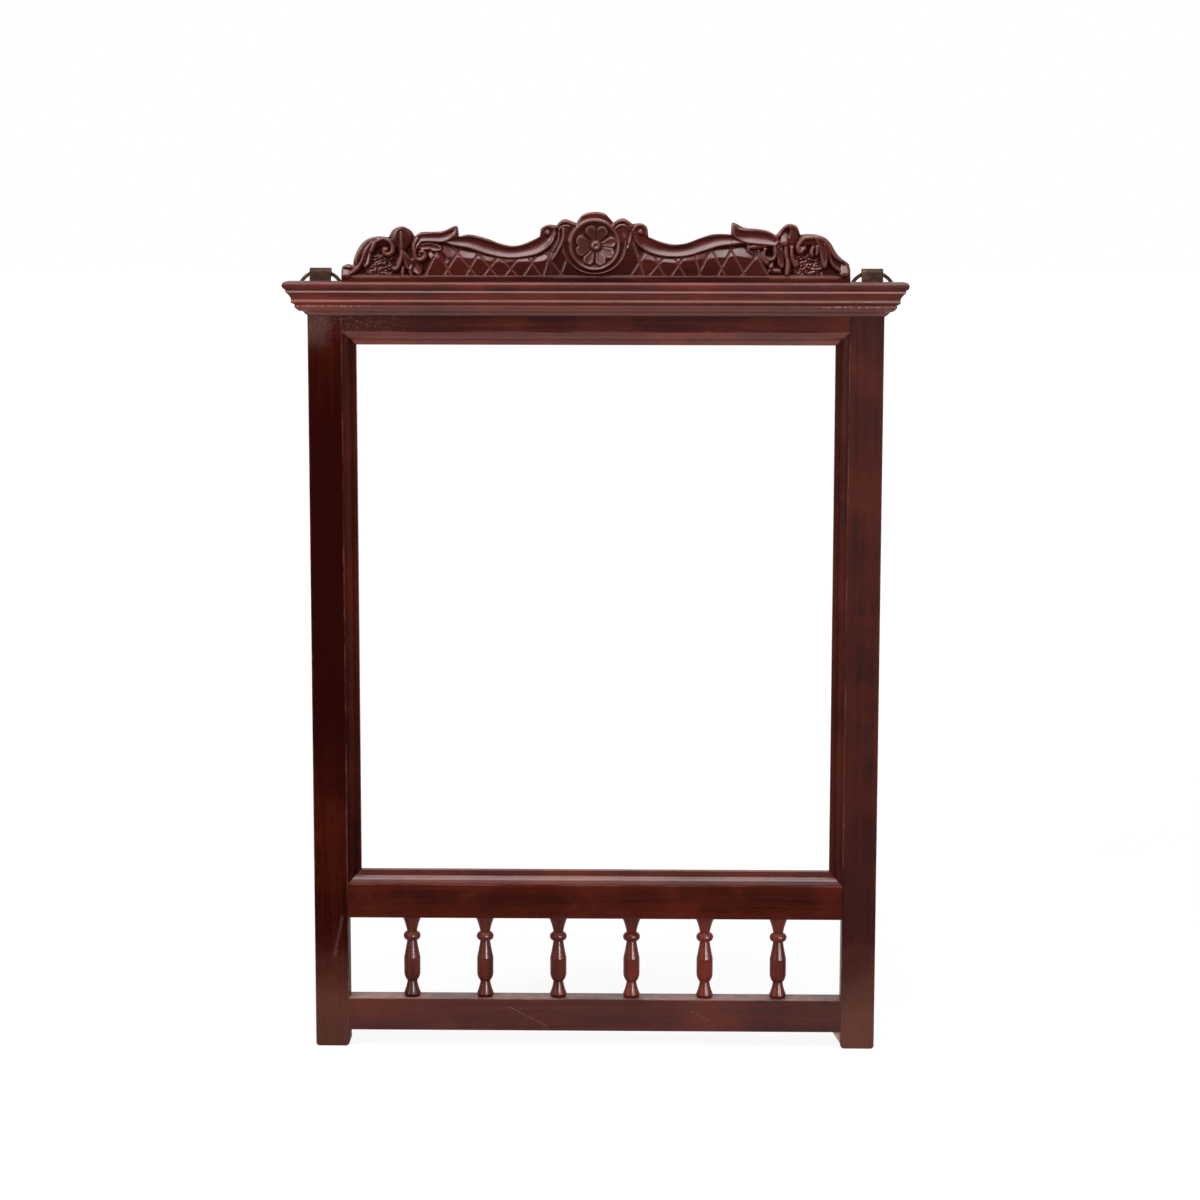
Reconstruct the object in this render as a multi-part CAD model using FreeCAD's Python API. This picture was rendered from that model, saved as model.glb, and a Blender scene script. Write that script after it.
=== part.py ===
import FreeCAD, Part
import math
import os

from FreeCAD import Vector

# Carved wall mirror: a mahogany frame with a moulded cornice, a carved crest, a gallery and ring hangers.
# Sizes are in millimetres. X runs to the right, Y from front to back and Z up.

# Frame members
FRAME_WIDTH = 616.0
STILE_WIDTH = 37.0
FRAME_THICKNESS = 26.0
FOOT_DROP = 18.5
BOTTOM_RAIL_HEIGHT = 36.0
GALLERY_HEIGHT = 91.0
MIDDLE_RAIL_HEIGHT = 38.0
MIRROR_BAY_HEIGHT = 604.0
TOP_RAIL_HEIGHT = 53.7
ARRIS_RADIUS = 0.8
FOOT_INNER_RADIUS = 4.5
FOOT_OUTER_RADIUS = 3.8

# Glue block in the angle between the bottom rail and the right foot
FOOT_BLOCK_WIDTH = 8.5
FOOT_BLOCK_DROP = 13.0
FOOT_BLOCK_SETBACK = 2.0

# Mortise and tenon joints
TENON_LENGTH = 22.0
TENON_THICKNESS = 9.0
TENON_SHOULDER = 5.0
TENON_CLEARANCE = 0.1
GLUE_POCKET = 1.0

# Turned spindles of the gallery
SPINDLE_COUNT = 6
SPINDLE_END_GAP = 69.0
SPINDLE_PEG_RADIUS = 4.5
SPINDLE_PEG_LENGTH = 10.0
SPINDLE_FOOT_RADIUS = 9.4
SPINDLE_FOOT_ROUND = 3.5
SPINDLE_SEAT_INSET = 1.2
SPINDLE_FOOT_HEIGHT = 17.5
SPINDLE_FOOT_HOLLOW = 0.3
SPINDLE_FOOT_WAIST_SHARE = 0.55
SPINDLE_NECK_RADIUS = 5.4
SPINDLE_BARREL_RADIUS = 9.0
SPINDLE_BARREL_HEIGHT = 26.5
SPINDLE_BARREL_ROUND = 9.0
SPINDLE_SWELL_SHARE = 0.9
SPINDLE_TAPER_HEIGHT = 19.3
SPINDLE_TAPER_HOLLOW = 0.45
SPINDLE_TAPER_WAIST_SHARE = 0.58
SPINDLE_BEAD_RADIUS = 9.4
SPINDLE_BEAD_HEIGHT = 9.7
SPINDLE_CAP_RADIUS = 11.0
SPINDLE_CAP_HOLLOW = 0.7

# Cornice section, listed from its top edge down
NOSE_HEIGHT = 7.8
NOSE_OVERHANG = 3.2
NOSE_TOP_SETBACK = 1.6
NOSE_TIP_DROP = 2.5
UPPER_FILLET_HEIGHT = 2.9
UPPER_FILLET_PROJECTION = 20.8
CAVETTO_HEIGHT = 6.7
CAVETTO_HOLLOW = 0.6
LOWER_FILLET_HEIGHT = 4.7
LOWER_FILLET_PROJECTION = 15.5
STEP_HEIGHT = 1.7
NECK_HEIGHT = 2.5
NECK_PROJECTION = 12.2
OVOLO_HEIGHT = 4.8
OVOLO_FOOT_PROJECTION = 7.0
OVOLO_SWELL = 0.6
FOOT_COVE_HEIGHT = 5.1
FOOT_COVE_HOLLOW = 1.7

# Sight moulding around the mirror
MOULDING_WIDTH = 13.8
MOULDING_DEPTH = 14.0
MOULDING_SETBACK = 0.6
QUIRK_WIDTH = 1.5
QUIRK_DEPTH = 1.6
SIGHT_OVOLO_WIDTH = 6.6
SIGHT_OVOLO_DEPTH = 6.4
SIGHT_OVOLO_SWELL = 1.1
SIGHT_STEP = 1.4

# Mirror plate, back board and the pins that keep them in
GLASS_THICKNESS = 4.0
BACK_BOARD_THICKNESS = 4.0
PLATE_CLEARANCE = 1.0
PIN_RADIUS = 0.8
PIN_HEAD_RADIUS = 1.5
PIN_HEAD_THICKNESS = 0.8
PIN_BITE = 11.0
PIN_STAND_OUT = 6.0
PIN_CLEARANCE = 0.05
PINS_PER_SIDE = 3
PINS_PER_END = 2

# Crest board: places are measured from its middle and from its foot on the cornice
CREST_INSET = 36.5
CREST_GROUND = 12.0
CREST_SETBACK = 1.5
PLINTH_HEIGHT = 6.0
PLINTH_RELIEF = 8.0
FIELD_RELIEF = 4.5
SCROLL_RELIEF = 8.5
LEAF_RELIEF = 7.0
BULB_RELIEF = 9.0
MEDALLION_HEIGHT = 38.3
MEDALLION_RADIUS = 35.7
MEDALLION_RELIEF = 6.5
LIP_RADIUS = 27.5
LIP_WIDTH = 2.2
LIP_RELIEF = 11.0
DISH_RELIEF = 3.0
PETAL_COUNT = 8
PETAL_LENGTH = 17.0
PETAL_WIDTH = 12.0
PETAL_RELIEF = 6.0
PETAL_TURN = 25.0
BUTTON_RADIUS = 4.4
BUTTON_RELIEF = 8.5
GROOVE_WIDTH = 1.6
GROOVE_DEPTH = 1.5
FIELD_LENGTH = 177.0
LATTICE_PITCH = 21.0
LATTICE_RISE = 1.42
LATTICE_LEVEL = 31.4
LATTICE_END_GAP = 7.5
DOWEL_RADIUS = 4.0
DOWEL_LENGTH = 30.0
DOWEL_CLEARANCE = 0.05
DOWEL_COUNT = 4
DOWEL_END_GAP = 65.5

# Ring hangers on the backs of the stiles
STRAP_WIDTH = 23.0
STRAP_THICKNESS = 1.3
STRAP_DROP = 24.0
STRAP_CORNER = 3.0
RING_WIRE_RADIUS = 2.0
RING_RADIUS = 25.0
RING_CLEARANCE = 0.3
KNUCKLE_RISE = 3.6
HANGER_SCREW_RADIUS = 1.75
HANGER_SCREW_LENGTH = 18.0
HANGER_SCREW_HEAD_RADIUS = 3.4
HANGER_SCREW_HEAD_HEIGHT = 1.9
HANGER_SCREW_HOLE_CLEARANCE = 0.3
HANGER_SCREW_BITE_CLEARANCE = 0.05
HANGER_SCREW_DEPTHS = (8.0, 18.0)
SCREW_SLOT_WIDTH = 1.0
SCREW_SLOT_DEPTH = 0.9

# Levels and planes worked out from the sizes above
BOTTOM_RAIL_TOP = FOOT_DROP + BOTTOM_RAIL_HEIGHT
MIDDLE_RAIL_FOOT = BOTTOM_RAIL_TOP + GALLERY_HEIGHT
MIDDLE_RAIL_TOP = MIDDLE_RAIL_FOOT + MIDDLE_RAIL_HEIGHT
TOP_RAIL_FOOT = MIDDLE_RAIL_TOP + MIRROR_BAY_HEIGHT
FRAME_TOP = TOP_RAIL_FOOT + TOP_RAIL_HEIGHT
BAY_WIDTH = FRAME_WIDTH - 2 * STILE_WIDTH
CREST_LENGTH = FRAME_WIDTH - 2 * CREST_INSET
NOSE_PROJECTION = UPPER_FILLET_PROJECTION + NOSE_OVERHANG

# The ring is round and the knuckle straight, so the knuckle leaves room for the ring's bow
RING_OUTER_REACH = RING_RADIUS + RING_WIRE_RADIUS
RING_INNER_REACH = math.sqrt((RING_RADIUS - RING_WIRE_RADIUS) ** 2 - (STRAP_WIDTH / 2) ** 2)
RING_HANG = (RING_OUTER_REACH + RING_INNER_REACH) / 2
KNUCKLE_BORE = (RING_OUTER_REACH - RING_INNER_REACH) / 2 + RING_CLEARANCE
KNUCKLE_RADIUS = KNUCKLE_BORE + STRAP_THICKNESS

# The overall depth runs from the cornice nose to the back of the knuckles, and Y is zero halfway
DEPTH = NOSE_PROJECTION + FRAME_THICKNESS + 2 * KNUCKLE_RADIUS
FRONT = NOSE_PROJECTION - DEPTH / 2
BACK = FRONT + FRAME_THICKNESS
MIDDLE = (FRONT + BACK) / 2
GLASS_FRONT = FRONT + MOULDING_DEPTH
BOARD_FRONT = GLASS_FRONT + GLASS_THICKNESS
BOARD_BACK = BOARD_FRONT + BACK_BOARD_THICKNESS
KNUCKLE_Y = BACK + KNUCKLE_RADIUS
KNUCKLE_Z = FRAME_TOP + KNUCKLE_RISE + KNUCKLE_RADIUS
STRAP_X = FRAME_WIDTH / 2 - STRAP_WIDTH / 2


def box(low, high):
    size = high - low
    return Part.makeBox(size.x, size.y, size.z, low)


def rod(radius, start, end):
    along = end - start
    return Part.makeCylinder(radius, along.Length, start, along)


def line(start, end):
    return Part.LineSegment(start, end).toShape()


def arc(start, middle, end):
    return Part.Arc(start, middle, end).toShape()


def bowed(start, end, swell):
    """An arc from start to end that swells to the left of its chord, or hollows where swell is negative."""
    chord = end - start
    side = Vector(-chord.y, chord.x, 0).normalize()
    return arc(start, (start + end) / 2 + side * swell, end)


def spline(points):
    curve = Part.BSplineCurve()
    curve.interpolate(points)
    return curve.toShape()


def face(edges):
    return Part.Face(Part.Wire(edges))


def mirrored(shape):
    return shape.mirror(Vector(0, 0, 0), Vector(1, 0, 0))


def long_edges(shape, axis, shortest):
    """The straight edges along an axis that are at least so long."""
    found = []
    for edge in shape.Edges:
        if len(edge.Vertexes) < 2 or edge.Length < shortest:
            continue
        along = edge.Vertexes[1].Point - edge.Vertexes[0].Point
        if abs(along.dot(axis)) > 0.999 * edge.Length:
            found.append(edge)
    return found


# Stiles, with feet, mortises and pin holes
def tenon(foot, top, clearance):
    """The right-hand tenon of a rail, or its mortise where a clearance is added."""
    half = TENON_THICKNESS / 2 + clearance
    reach = BAY_WIDTH / 2 + TENON_LENGTH
    if clearance:
        reach += GLUE_POCKET
    low = Vector(BAY_WIDTH / 2, MIDDLE - half, foot + TENON_SHOULDER - clearance)
    high = Vector(reach, MIDDLE + half, top - TENON_SHOULDER + clearance)
    return box(low, high)


RAILS = {
    "top_rail": (TOP_RAIL_FOOT, FRAME_TOP),
    "middle_rail": (MIDDLE_RAIL_FOOT, MIDDLE_RAIL_TOP),
    "bottom_rail": (FOOT_DROP, BOTTOM_RAIL_TOP),
}


def right_stile():
    inner = BAY_WIDTH / 2
    outer = FRAME_WIDTH / 2
    turn = 1 - math.sqrt(0.5)
    inner_low = Vector(inner, FRONT, FOOT_INNER_RADIUS)
    inner_mid = Vector(inner + turn * FOOT_INNER_RADIUS, FRONT, turn * FOOT_INNER_RADIUS)
    foot_in = Vector(inner + FOOT_INNER_RADIUS, FRONT, 0)
    foot_out = Vector(outer - FOOT_OUTER_RADIUS, FRONT, 0)
    outer_mid = Vector(outer - turn * FOOT_OUTER_RADIUS, FRONT, turn * FOOT_OUTER_RADIUS)
    outer_low = Vector(outer, FRONT, FOOT_OUTER_RADIUS)
    top_out = Vector(outer, FRONT, FRAME_TOP)
    top_in = Vector(inner, FRONT, FRAME_TOP)
    outline = [
        arc(inner_low, inner_mid, foot_in),
        line(foot_in, foot_out),
        arc(foot_out, outer_mid, outer_low),
        line(outer_low, top_out),
        line(top_out, top_in),
        line(top_in, inner_low),
    ]
    stile = face(outline).extrude(Vector(0, FRAME_THICKNESS, 0))
    stile = stile.makeFillet(ARRIS_RADIUS, long_edges(stile, Vector(0, 0, 1), FRAME_TOP / 2))
    for foot, top in RAILS.values():
        stile = stile.cut(tenon(foot, top, TENON_CLEARANCE))
    for start, end in side_pins():
        stile = stile.cut(rod(PIN_RADIUS + PIN_CLEARANCE, start, end))
    for start, end in hanger_screw_lines():
        stile = stile.cut(rod(HANGER_SCREW_RADIUS + HANGER_SCREW_BITE_CLEARANCE, start, end))
    return stile


def right_foot_block():
    corner = Vector(BAY_WIDTH / 2, FRONT + FOOT_BLOCK_SETBACK, FOOT_DROP)
    aside = corner - Vector(FOOT_BLOCK_WIDTH, 0, 0)
    below = corner - Vector(0, 0, FOOT_BLOCK_DROP)
    return face(polygon([corner, aside, below])).extrude(Vector(0, FRAME_THICKNESS - 2 * FOOT_BLOCK_SETBACK, 0))


# Rails, with tenons and the holes that the spindles, dowels and pins go into
def rail(name):
    foot, top = RAILS[name]
    low = Vector(-BAY_WIDTH / 2, FRONT, foot)
    high = Vector(BAY_WIDTH / 2, BACK, top)
    shape = box(low, high)
    shape = shape.makeFillet(ARRIS_RADIUS, long_edges(shape, Vector(1, 0, 0), BAY_WIDTH / 2))
    right = tenon(foot, top, 0)
    return shape.fuse([right, mirrored(right)]).removeSplitter()


def spread(reach, count):
    """Evenly spaced places from -reach to +reach."""
    return [reach * (2 * i / (count - 1) - 1) for i in range(count)]


def spindle_places():
    return spread(BAY_WIDTH / 2 - SPINDLE_END_GAP, SPINDLE_COUNT)


def peg_holes(level, upward):
    depth = SPINDLE_PEG_LENGTH + GLUE_POCKET
    radius = SPINDLE_PEG_RADIUS + TENON_CLEARANCE
    reach = Vector(0, 0, depth if upward else -depth)
    return [rod(radius, Vector(x, MIDDLE, level), Vector(x, MIDDLE, level) + reach) for x in spindle_places()]


def pin_holes(lines):
    return [rod(PIN_RADIUS + PIN_CLEARANCE, start, end) for start, end in lines]


def top_rail():
    return rail("top_rail").cut(dowels(DOWEL_CLEARANCE) + pin_holes(end_pins(TOP_RAIL_FOOT, 1)))


def middle_rail():
    cuts = peg_holes(MIDDLE_RAIL_FOOT, True)
    return rail("middle_rail").cut(cuts + pin_holes(end_pins(MIDDLE_RAIL_TOP, -1)))


def bottom_rail():
    return rail("bottom_rail").cut(peg_holes(BOTTOM_RAIL_TOP, False))


# Spindles, turned about their own upright axis
def spindle(x):
    barrel_foot = SPINDLE_FOOT_HEIGHT
    barrel_top = barrel_foot + SPINDLE_BARREL_HEIGHT
    bead_foot = barrel_top + SPINDLE_TAPER_HEIGHT
    bead_top = bead_foot + SPINDLE_BEAD_HEIGHT
    neck = SPINDLE_NECK_RADIUS

    def at(radius, height):
        return Vector(radius, 0, height)

    peg_low = at(SPINDLE_PEG_RADIUS, -SPINDLE_PEG_LENGTH)
    peg_foot = at(SPINDLE_PEG_RADIUS, 0)
    seat = at(SPINDLE_FOOT_RADIUS - SPINDLE_SEAT_INSET, 0)
    foot_round = at(SPINDLE_FOOT_RADIUS, SPINDLE_FOOT_ROUND)
    foot_waist_radius = (SPINDLE_FOOT_RADIUS + neck) / 2 - SPINDLE_FOOT_HOLLOW
    foot_waist = at(foot_waist_radius, barrel_foot * SPINDLE_FOOT_WAIST_SHARE)
    foot_neck = at(neck, barrel_foot)
    swell_mid = at(SPINDLE_BARREL_RADIUS * SPINDLE_SWELL_SHARE, barrel_foot + SPINDLE_BARREL_ROUND / 2)
    barrel_low = at(SPINDLE_BARREL_RADIUS, barrel_foot + SPINDLE_BARREL_ROUND)
    shoulder = at(SPINDLE_BARREL_RADIUS, barrel_top)
    taper_waist_radius = (SPINDLE_BARREL_RADIUS + neck) / 2 - SPINDLE_TAPER_HOLLOW
    taper_mid = at(taper_waist_radius, barrel_top + SPINDLE_TAPER_HEIGHT * SPINDLE_TAPER_WAIST_SHARE)
    taper_top = at(neck, bead_foot)
    bead_mid = at(SPINDLE_BEAD_RADIUS, (bead_foot + bead_top) / 2)
    bead_end = at(neck, bead_top)
    cap_waist_radius = (neck + SPINDLE_CAP_RADIUS) / 2 - SPINDLE_CAP_HOLLOW
    cap_mid = at(cap_waist_radius, (bead_top + GALLERY_HEIGHT) / 2)
    cap = at(SPINDLE_CAP_RADIUS, GALLERY_HEIGHT)
    peg_head = at(SPINDLE_PEG_RADIUS, GALLERY_HEIGHT)
    peg_top = at(SPINDLE_PEG_RADIUS, GALLERY_HEIGHT + SPINDLE_PEG_LENGTH)
    axis_low = at(0, -SPINDLE_PEG_LENGTH)
    axis_top = at(0, GALLERY_HEIGHT + SPINDLE_PEG_LENGTH)
    half_section = [
        line(axis_low, peg_low),
        line(peg_low, peg_foot),
        line(peg_foot, seat),
        line(seat, foot_round),
        arc(foot_round, foot_waist, foot_neck),
        arc(foot_neck, swell_mid, barrel_low),
        line(barrel_low, shoulder),
        arc(shoulder, taper_mid, taper_top),
        arc(taper_top, bead_mid, bead_end),
        arc(bead_end, cap_mid, cap),
        line(cap, peg_head),
        line(peg_head, peg_top),
        line(peg_top, axis_top),
        line(axis_top, axis_low),
    ]
    turned = face(half_section).revolve(Vector(0, 0, 0), Vector(0, 0, 1), 360)
    turned.translate(Vector(x, MIDDLE, BOTTOM_RAIL_TOP))
    return turned


# Cornice: one moulding run across the front, mitred to a short return on each side
def cornice_section():
    """The section, its projection along X and its height along Y, both zero at the frame's top front edge."""
    levels = [0.0]
    steps = (NOSE_HEIGHT, UPPER_FILLET_HEIGHT, CAVETTO_HEIGHT, LOWER_FILLET_HEIGHT, STEP_HEIGHT, NECK_HEIGHT,
             OVOLO_HEIGHT, FOOT_COVE_HEIGHT)
    for step in steps:
        levels.append(levels[-1] - step)
    nose_top = Vector(NOSE_PROJECTION - NOSE_TOP_SETBACK, 0, 0)
    nose_tip = Vector(NOSE_PROJECTION, -NOSE_TIP_DROP, 0)
    nose_foot = Vector(UPPER_FILLET_PROJECTION, levels[1], 0)
    upper_arris = Vector(UPPER_FILLET_PROJECTION, levels[2], 0)
    lower_top = Vector(LOWER_FILLET_PROJECTION, levels[3], 0)
    lower_arris = Vector(LOWER_FILLET_PROJECTION, levels[4], 0)
    neck_top = Vector(NECK_PROJECTION, levels[5], 0)
    neck_arris = Vector(NECK_PROJECTION, levels[6], 0)
    ovolo_foot = Vector(OVOLO_FOOT_PROJECTION, levels[7], 0)
    foot = Vector(0, levels[8], 0)
    top = Vector(0, 0, 0)
    return face([
        line(top, nose_top),
        arc(nose_top, nose_tip, nose_foot),
        line(nose_foot, upper_arris),
        bowed(upper_arris, lower_top, -CAVETTO_HOLLOW),
        line(lower_top, lower_arris),
        line(lower_arris, neck_top),
        line(neck_top, neck_arris),
        bowed(neck_arris, ovolo_foot, OVOLO_SWELL),
        bowed(ovolo_foot, foot, -FOOT_COVE_HOLLOW),
        line(foot, top),
    ])


def mitre_wedge(reach, height):
    """A wedge outside a mitre plane that rises at 45 degrees from the origin towards +X and -Y."""
    corners = [Vector(-reach, reach, -height), Vector(reach, -reach, -height), Vector(reach, reach, -height)]
    edges = [line(corners[i], corners[(i + 1) % 3]) for i in range(3)]
    return face(edges).extrude(Vector(0, 0, 2 * height))


def cornice_front():
    section = cornice_section()
    section.rotate(Vector(0, 0, 0), Vector(1, 0, 0), 90)
    section.rotate(Vector(0, 0, 0), Vector(0, 0, 1), -90)
    half = FRAME_WIDTH / 2 + NOSE_PROJECTION
    section.translate(Vector(-half, 0, 0))
    run = section.extrude(Vector(2 * half, 0, 0))
    wedge = mitre_wedge(2 * NOSE_PROJECTION + FRAME_THICKNESS, 2 * FRAME_THICKNESS + TOP_RAIL_HEIGHT)
    wedge.translate(Vector(FRAME_WIDTH / 2, 0, 0))
    run = run.cut([wedge, mirrored(wedge)])
    run.translate(Vector(0, FRONT, FRAME_TOP))
    return run


def cornice_right_return():
    section = cornice_section()
    section.rotate(Vector(0, 0, 0), Vector(1, 0, 0), 90)
    section.translate(Vector(0, -NOSE_PROJECTION, 0))
    run = section.extrude(Vector(0, NOSE_PROJECTION + FRAME_THICKNESS, 0))
    reach = 2 * NOSE_PROJECTION + FRAME_THICKNESS
    wedge = mitre_wedge(reach, 2 * FRAME_THICKNESS + TOP_RAIL_HEIGHT)
    run = run.common(wedge)
    run.translate(Vector(FRAME_WIDTH / 2, FRONT, FRAME_TOP))
    return run


# Sight moulding: four mitred strips inside the mirror bay
def sight_strip(length):
    """A strip along X with its outer edge at Z zero, its front at Y zero and its sight edge above."""
    quirk_in = Vector(0, MOULDING_SETBACK, 0)
    quirk_out = Vector(0, MOULDING_SETBACK, QUIRK_WIDTH)
    quirk_foot = Vector(0, MOULDING_SETBACK + QUIRK_DEPTH, QUIRK_WIDTH)
    ovolo_end = Vector(0, quirk_foot.y + SIGHT_OVOLO_DEPTH, QUIRK_WIDTH + SIGHT_OVOLO_WIDTH)
    chord = ovolo_end - quirk_foot
    outward = Vector(0, -chord.z, chord.y).normalize()
    ovolo_mid = (quirk_foot + ovolo_end) / 2 + outward * SIGHT_OVOLO_SWELL
    fillet_in = Vector(0, ovolo_end.y + SIGHT_STEP, ovolo_end.z)
    sight_arris = Vector(0, fillet_in.y, MOULDING_WIDTH)
    sight_back = Vector(0, MOULDING_DEPTH, MOULDING_WIDTH)
    back = Vector(0, MOULDING_DEPTH, 0)
    section = face([
        line(quirk_in, quirk_out),
        line(quirk_out, quirk_foot),
        arc(quirk_foot, ovolo_mid, ovolo_end),
        line(ovolo_end, fillet_in),
        line(fillet_in, sight_arris),
        line(sight_arris, sight_back),
        line(sight_back, back),
        line(back, quirk_in),
    ])
    section.translate(Vector(-length / 2, 0, 0))
    strip = section.extrude(Vector(length, 0, 0))
    reach = 2 * MOULDING_WIDTH
    corners = [Vector(-reach, -reach, reach), Vector(reach, -reach, -reach), Vector(reach, -reach, reach)]
    edges = [line(corners[i], corners[(i + 1) % 3]) for i in range(3)]
    wedge = face(edges).extrude(Vector(0, MOULDING_DEPTH + 2 * reach, 0))
    wedge.translate(Vector(length / 2, 0, 0))
    return strip.cut([wedge, mirrored(wedge)])


def sight_moulding(side):
    bay_middle = (MIDDLE_RAIL_TOP + TOP_RAIL_FOOT) / 2
    upright = side in ("left", "right")
    strip = sight_strip(MIRROR_BAY_HEIGHT if upright else BAY_WIDTH)
    out = BAY_WIDTH / 2 if upright else MIRROR_BAY_HEIGHT / 2
    strip.translate(Vector(0, FRONT, -out))
    turn = {"bottom": 0, "right": -90, "top": 180, "left": 90}[side]
    strip.rotate(Vector(0, 0, 0), Vector(0, 1, 0), turn)
    strip.translate(Vector(0, 0, bay_middle))
    return strip


# Mirror plate and back board, laid in behind the sight moulding
def bay_panel(front, back):
    low = Vector(-BAY_WIDTH / 2 + PLATE_CLEARANCE, front, MIDDLE_RAIL_TOP + PLATE_CLEARANCE)
    high = Vector(BAY_WIDTH / 2 - PLATE_CLEARANCE, back, TOP_RAIL_FOOT - PLATE_CLEARANCE)
    return box(low, high)


def pin_y():
    return BOARD_BACK + PIN_HEAD_RADIUS


def side_pins():
    """Start and end of each pin driven into the right stile, from its head outwards."""
    spacing = MIRROR_BAY_HEIGHT / PINS_PER_SIDE
    lines = []
    for i in range(PINS_PER_SIDE):
        z = MIDDLE_RAIL_TOP + spacing * (i + 0.5)
        head = Vector(BAY_WIDTH / 2 - PIN_STAND_OUT, pin_y(), z)
        lines.append((head, Vector(BAY_WIDTH / 2 + PIN_BITE, pin_y(), z)))
    return lines


def end_pins(level, way):
    """Start and end of each pin driven into the rail at one end of the mirror bay."""
    spacing = BAY_WIDTH / PINS_PER_END
    lines = []
    for i in range(PINS_PER_END):
        x = -BAY_WIDTH / 2 + spacing * (i + 0.5)
        head = Vector(x, pin_y(), level - way * PIN_STAND_OUT)
        lines.append((head, Vector(x, pin_y(), level + way * PIN_BITE)))
    return lines


def pin(start, end):
    along = (end - start).normalize()
    head = rod(PIN_HEAD_RADIUS, start, start + along * PIN_HEAD_THICKNESS)
    return head.fuse(rod(PIN_RADIUS, start, end)).removeSplitter()


def back_board_pins():
    right = [pin(start, end) for start, end in side_pins()]
    left = [mirrored(shape) for shape in right]
    top = [pin(start, end) for start, end in end_pins(TOP_RAIL_FOOT, 1)]
    bottom = [pin(start, end) for start, end in end_pins(MIDDLE_RAIL_TOP, -1)]
    return Part.makeCompound(right + left + top + bottom)


# Crest board, carved in relief from one thickness
CREST_FRONT = FRONT + CREST_SETBACK
CREST_BACK = CREST_FRONT + LIP_RELIEF + CREST_GROUND


def crest_at(x, z):
    return Vector(x, CREST_BACK, FRAME_TOP + z)


def crest_points(pairs):
    """Pattern points in place: beyond the medallion the pattern stretches with the crest's length."""
    stretch = (CREST_LENGTH / 2 - MEDALLION_RADIUS) / (LEAF_BACK[0][0] - MEDALLION_RADIUS)
    return [crest_at(min(x, MEDALLION_RADIUS) + max(x - MEDALLION_RADIUS, 0) * stretch, z) for x, z in pairs]


def raised(edges, relief):
    """A form that stands from the crest's back to its own relief above the ground."""
    return face(edges).extrude(Vector(0, -(CREST_GROUND + relief), 0))


def raised_disc(radius, relief):
    centre = crest_at(0, MEDALLION_HEIGHT)
    return Part.makeCylinder(radius, CREST_GROUND + relief, centre, Vector(0, -1, 0))


# Carver's pattern for the right half, as curves through the points that set each shape
SCROLL_TOP = ((147.0, 48.5), (136.0, 49.5), (118.0, 46.5), (101.0, 40.0), (87.0, 38.0), (74.0, 40.0),
              (63.0, 45.0), (58.0, 51.0))
VOLUTE_TOP = ((58.0, 51.0), (56.5, 57.0), (50.0, 60.5), (42.0, 58.5))
SCROLL_FOOT = ((42.0, 58.5), (40.5, 47.0), (48.0, 33.5), (63.0, 27.5), (88.0, 25.0), (106.0, 26.5),
               (128.0, 33.0), (153.0, 40.0))
HUMP = ((20.0, 61.5), (25.0, 65.0), (31.5, 66.0), (37.5, 64.0), (44.0, 57.0), (47.0, 44.0),
        (43.0, 24.0))
LEAF_BACK = ((271.5, 16.0), (264.0, 19.0), (257.0, 25.0), (252.0, 35.5), (246.0, 42.5), (236.0, 48.0),
             (221.0, 48.5), (214.0, 46.0))
LEAF_BELLY = ((214.0, 46.0), (218.0, 36.0), (224.0, 31.0), (233.0, 36.0), (243.0, 26.0), (256.0, 8.0))
BULB_TOP = ((221.0, 45.0), (214.5, 57.0), (206.5, 60.0), (199.0, 57.0), (193.0, 45.0))
TASSEL = ((193.0, 45.0), (198.5, 31.0), (194.0, 16.0), (207.0, 7.5), (220.0, 16.0), (215.0, 31.0),
          (221.0, 45.0))
TIP_TOP = ((199.0, 43.0), (192.0, 49.0), (184.0, 53.0), (168.0, 54.5), (155.0, 57.5), (147.0, 61.0))
TIP_FOOT = ((147.0, 61.0), (145.5, 54.0), (150.0, 48.0), (165.0, 42.0), (178.0, 36.0), (184.0, 25.0),
            (192.0, 27.0), (199.0, 43.0))

# Ground behind the forms: every corner lies under one of them
GROUND_TOP = ((265.0, 12.0), (250.0, 30.0), (228.0, 42.0), (204.0, 40.0), (160.0, 49.0), (140.0, 43.0),
              (118.0, 39.0), (101.0, 33.5), (87.0, 31.5), (70.0, 34.5), (57.0, 41.0), (51.0, 51.0),
              (0.0, 51.0))


def polygon(corners):
    return [line(corners[i], corners[(i + 1) % len(corners)]) for i in range(len(corners))]


def crest_ground(relief):
    return raised(polygon(crest_points(((0.0, 0.0), (GROUND_TOP[0][0], 0.0)) + GROUND_TOP)), relief)


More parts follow.
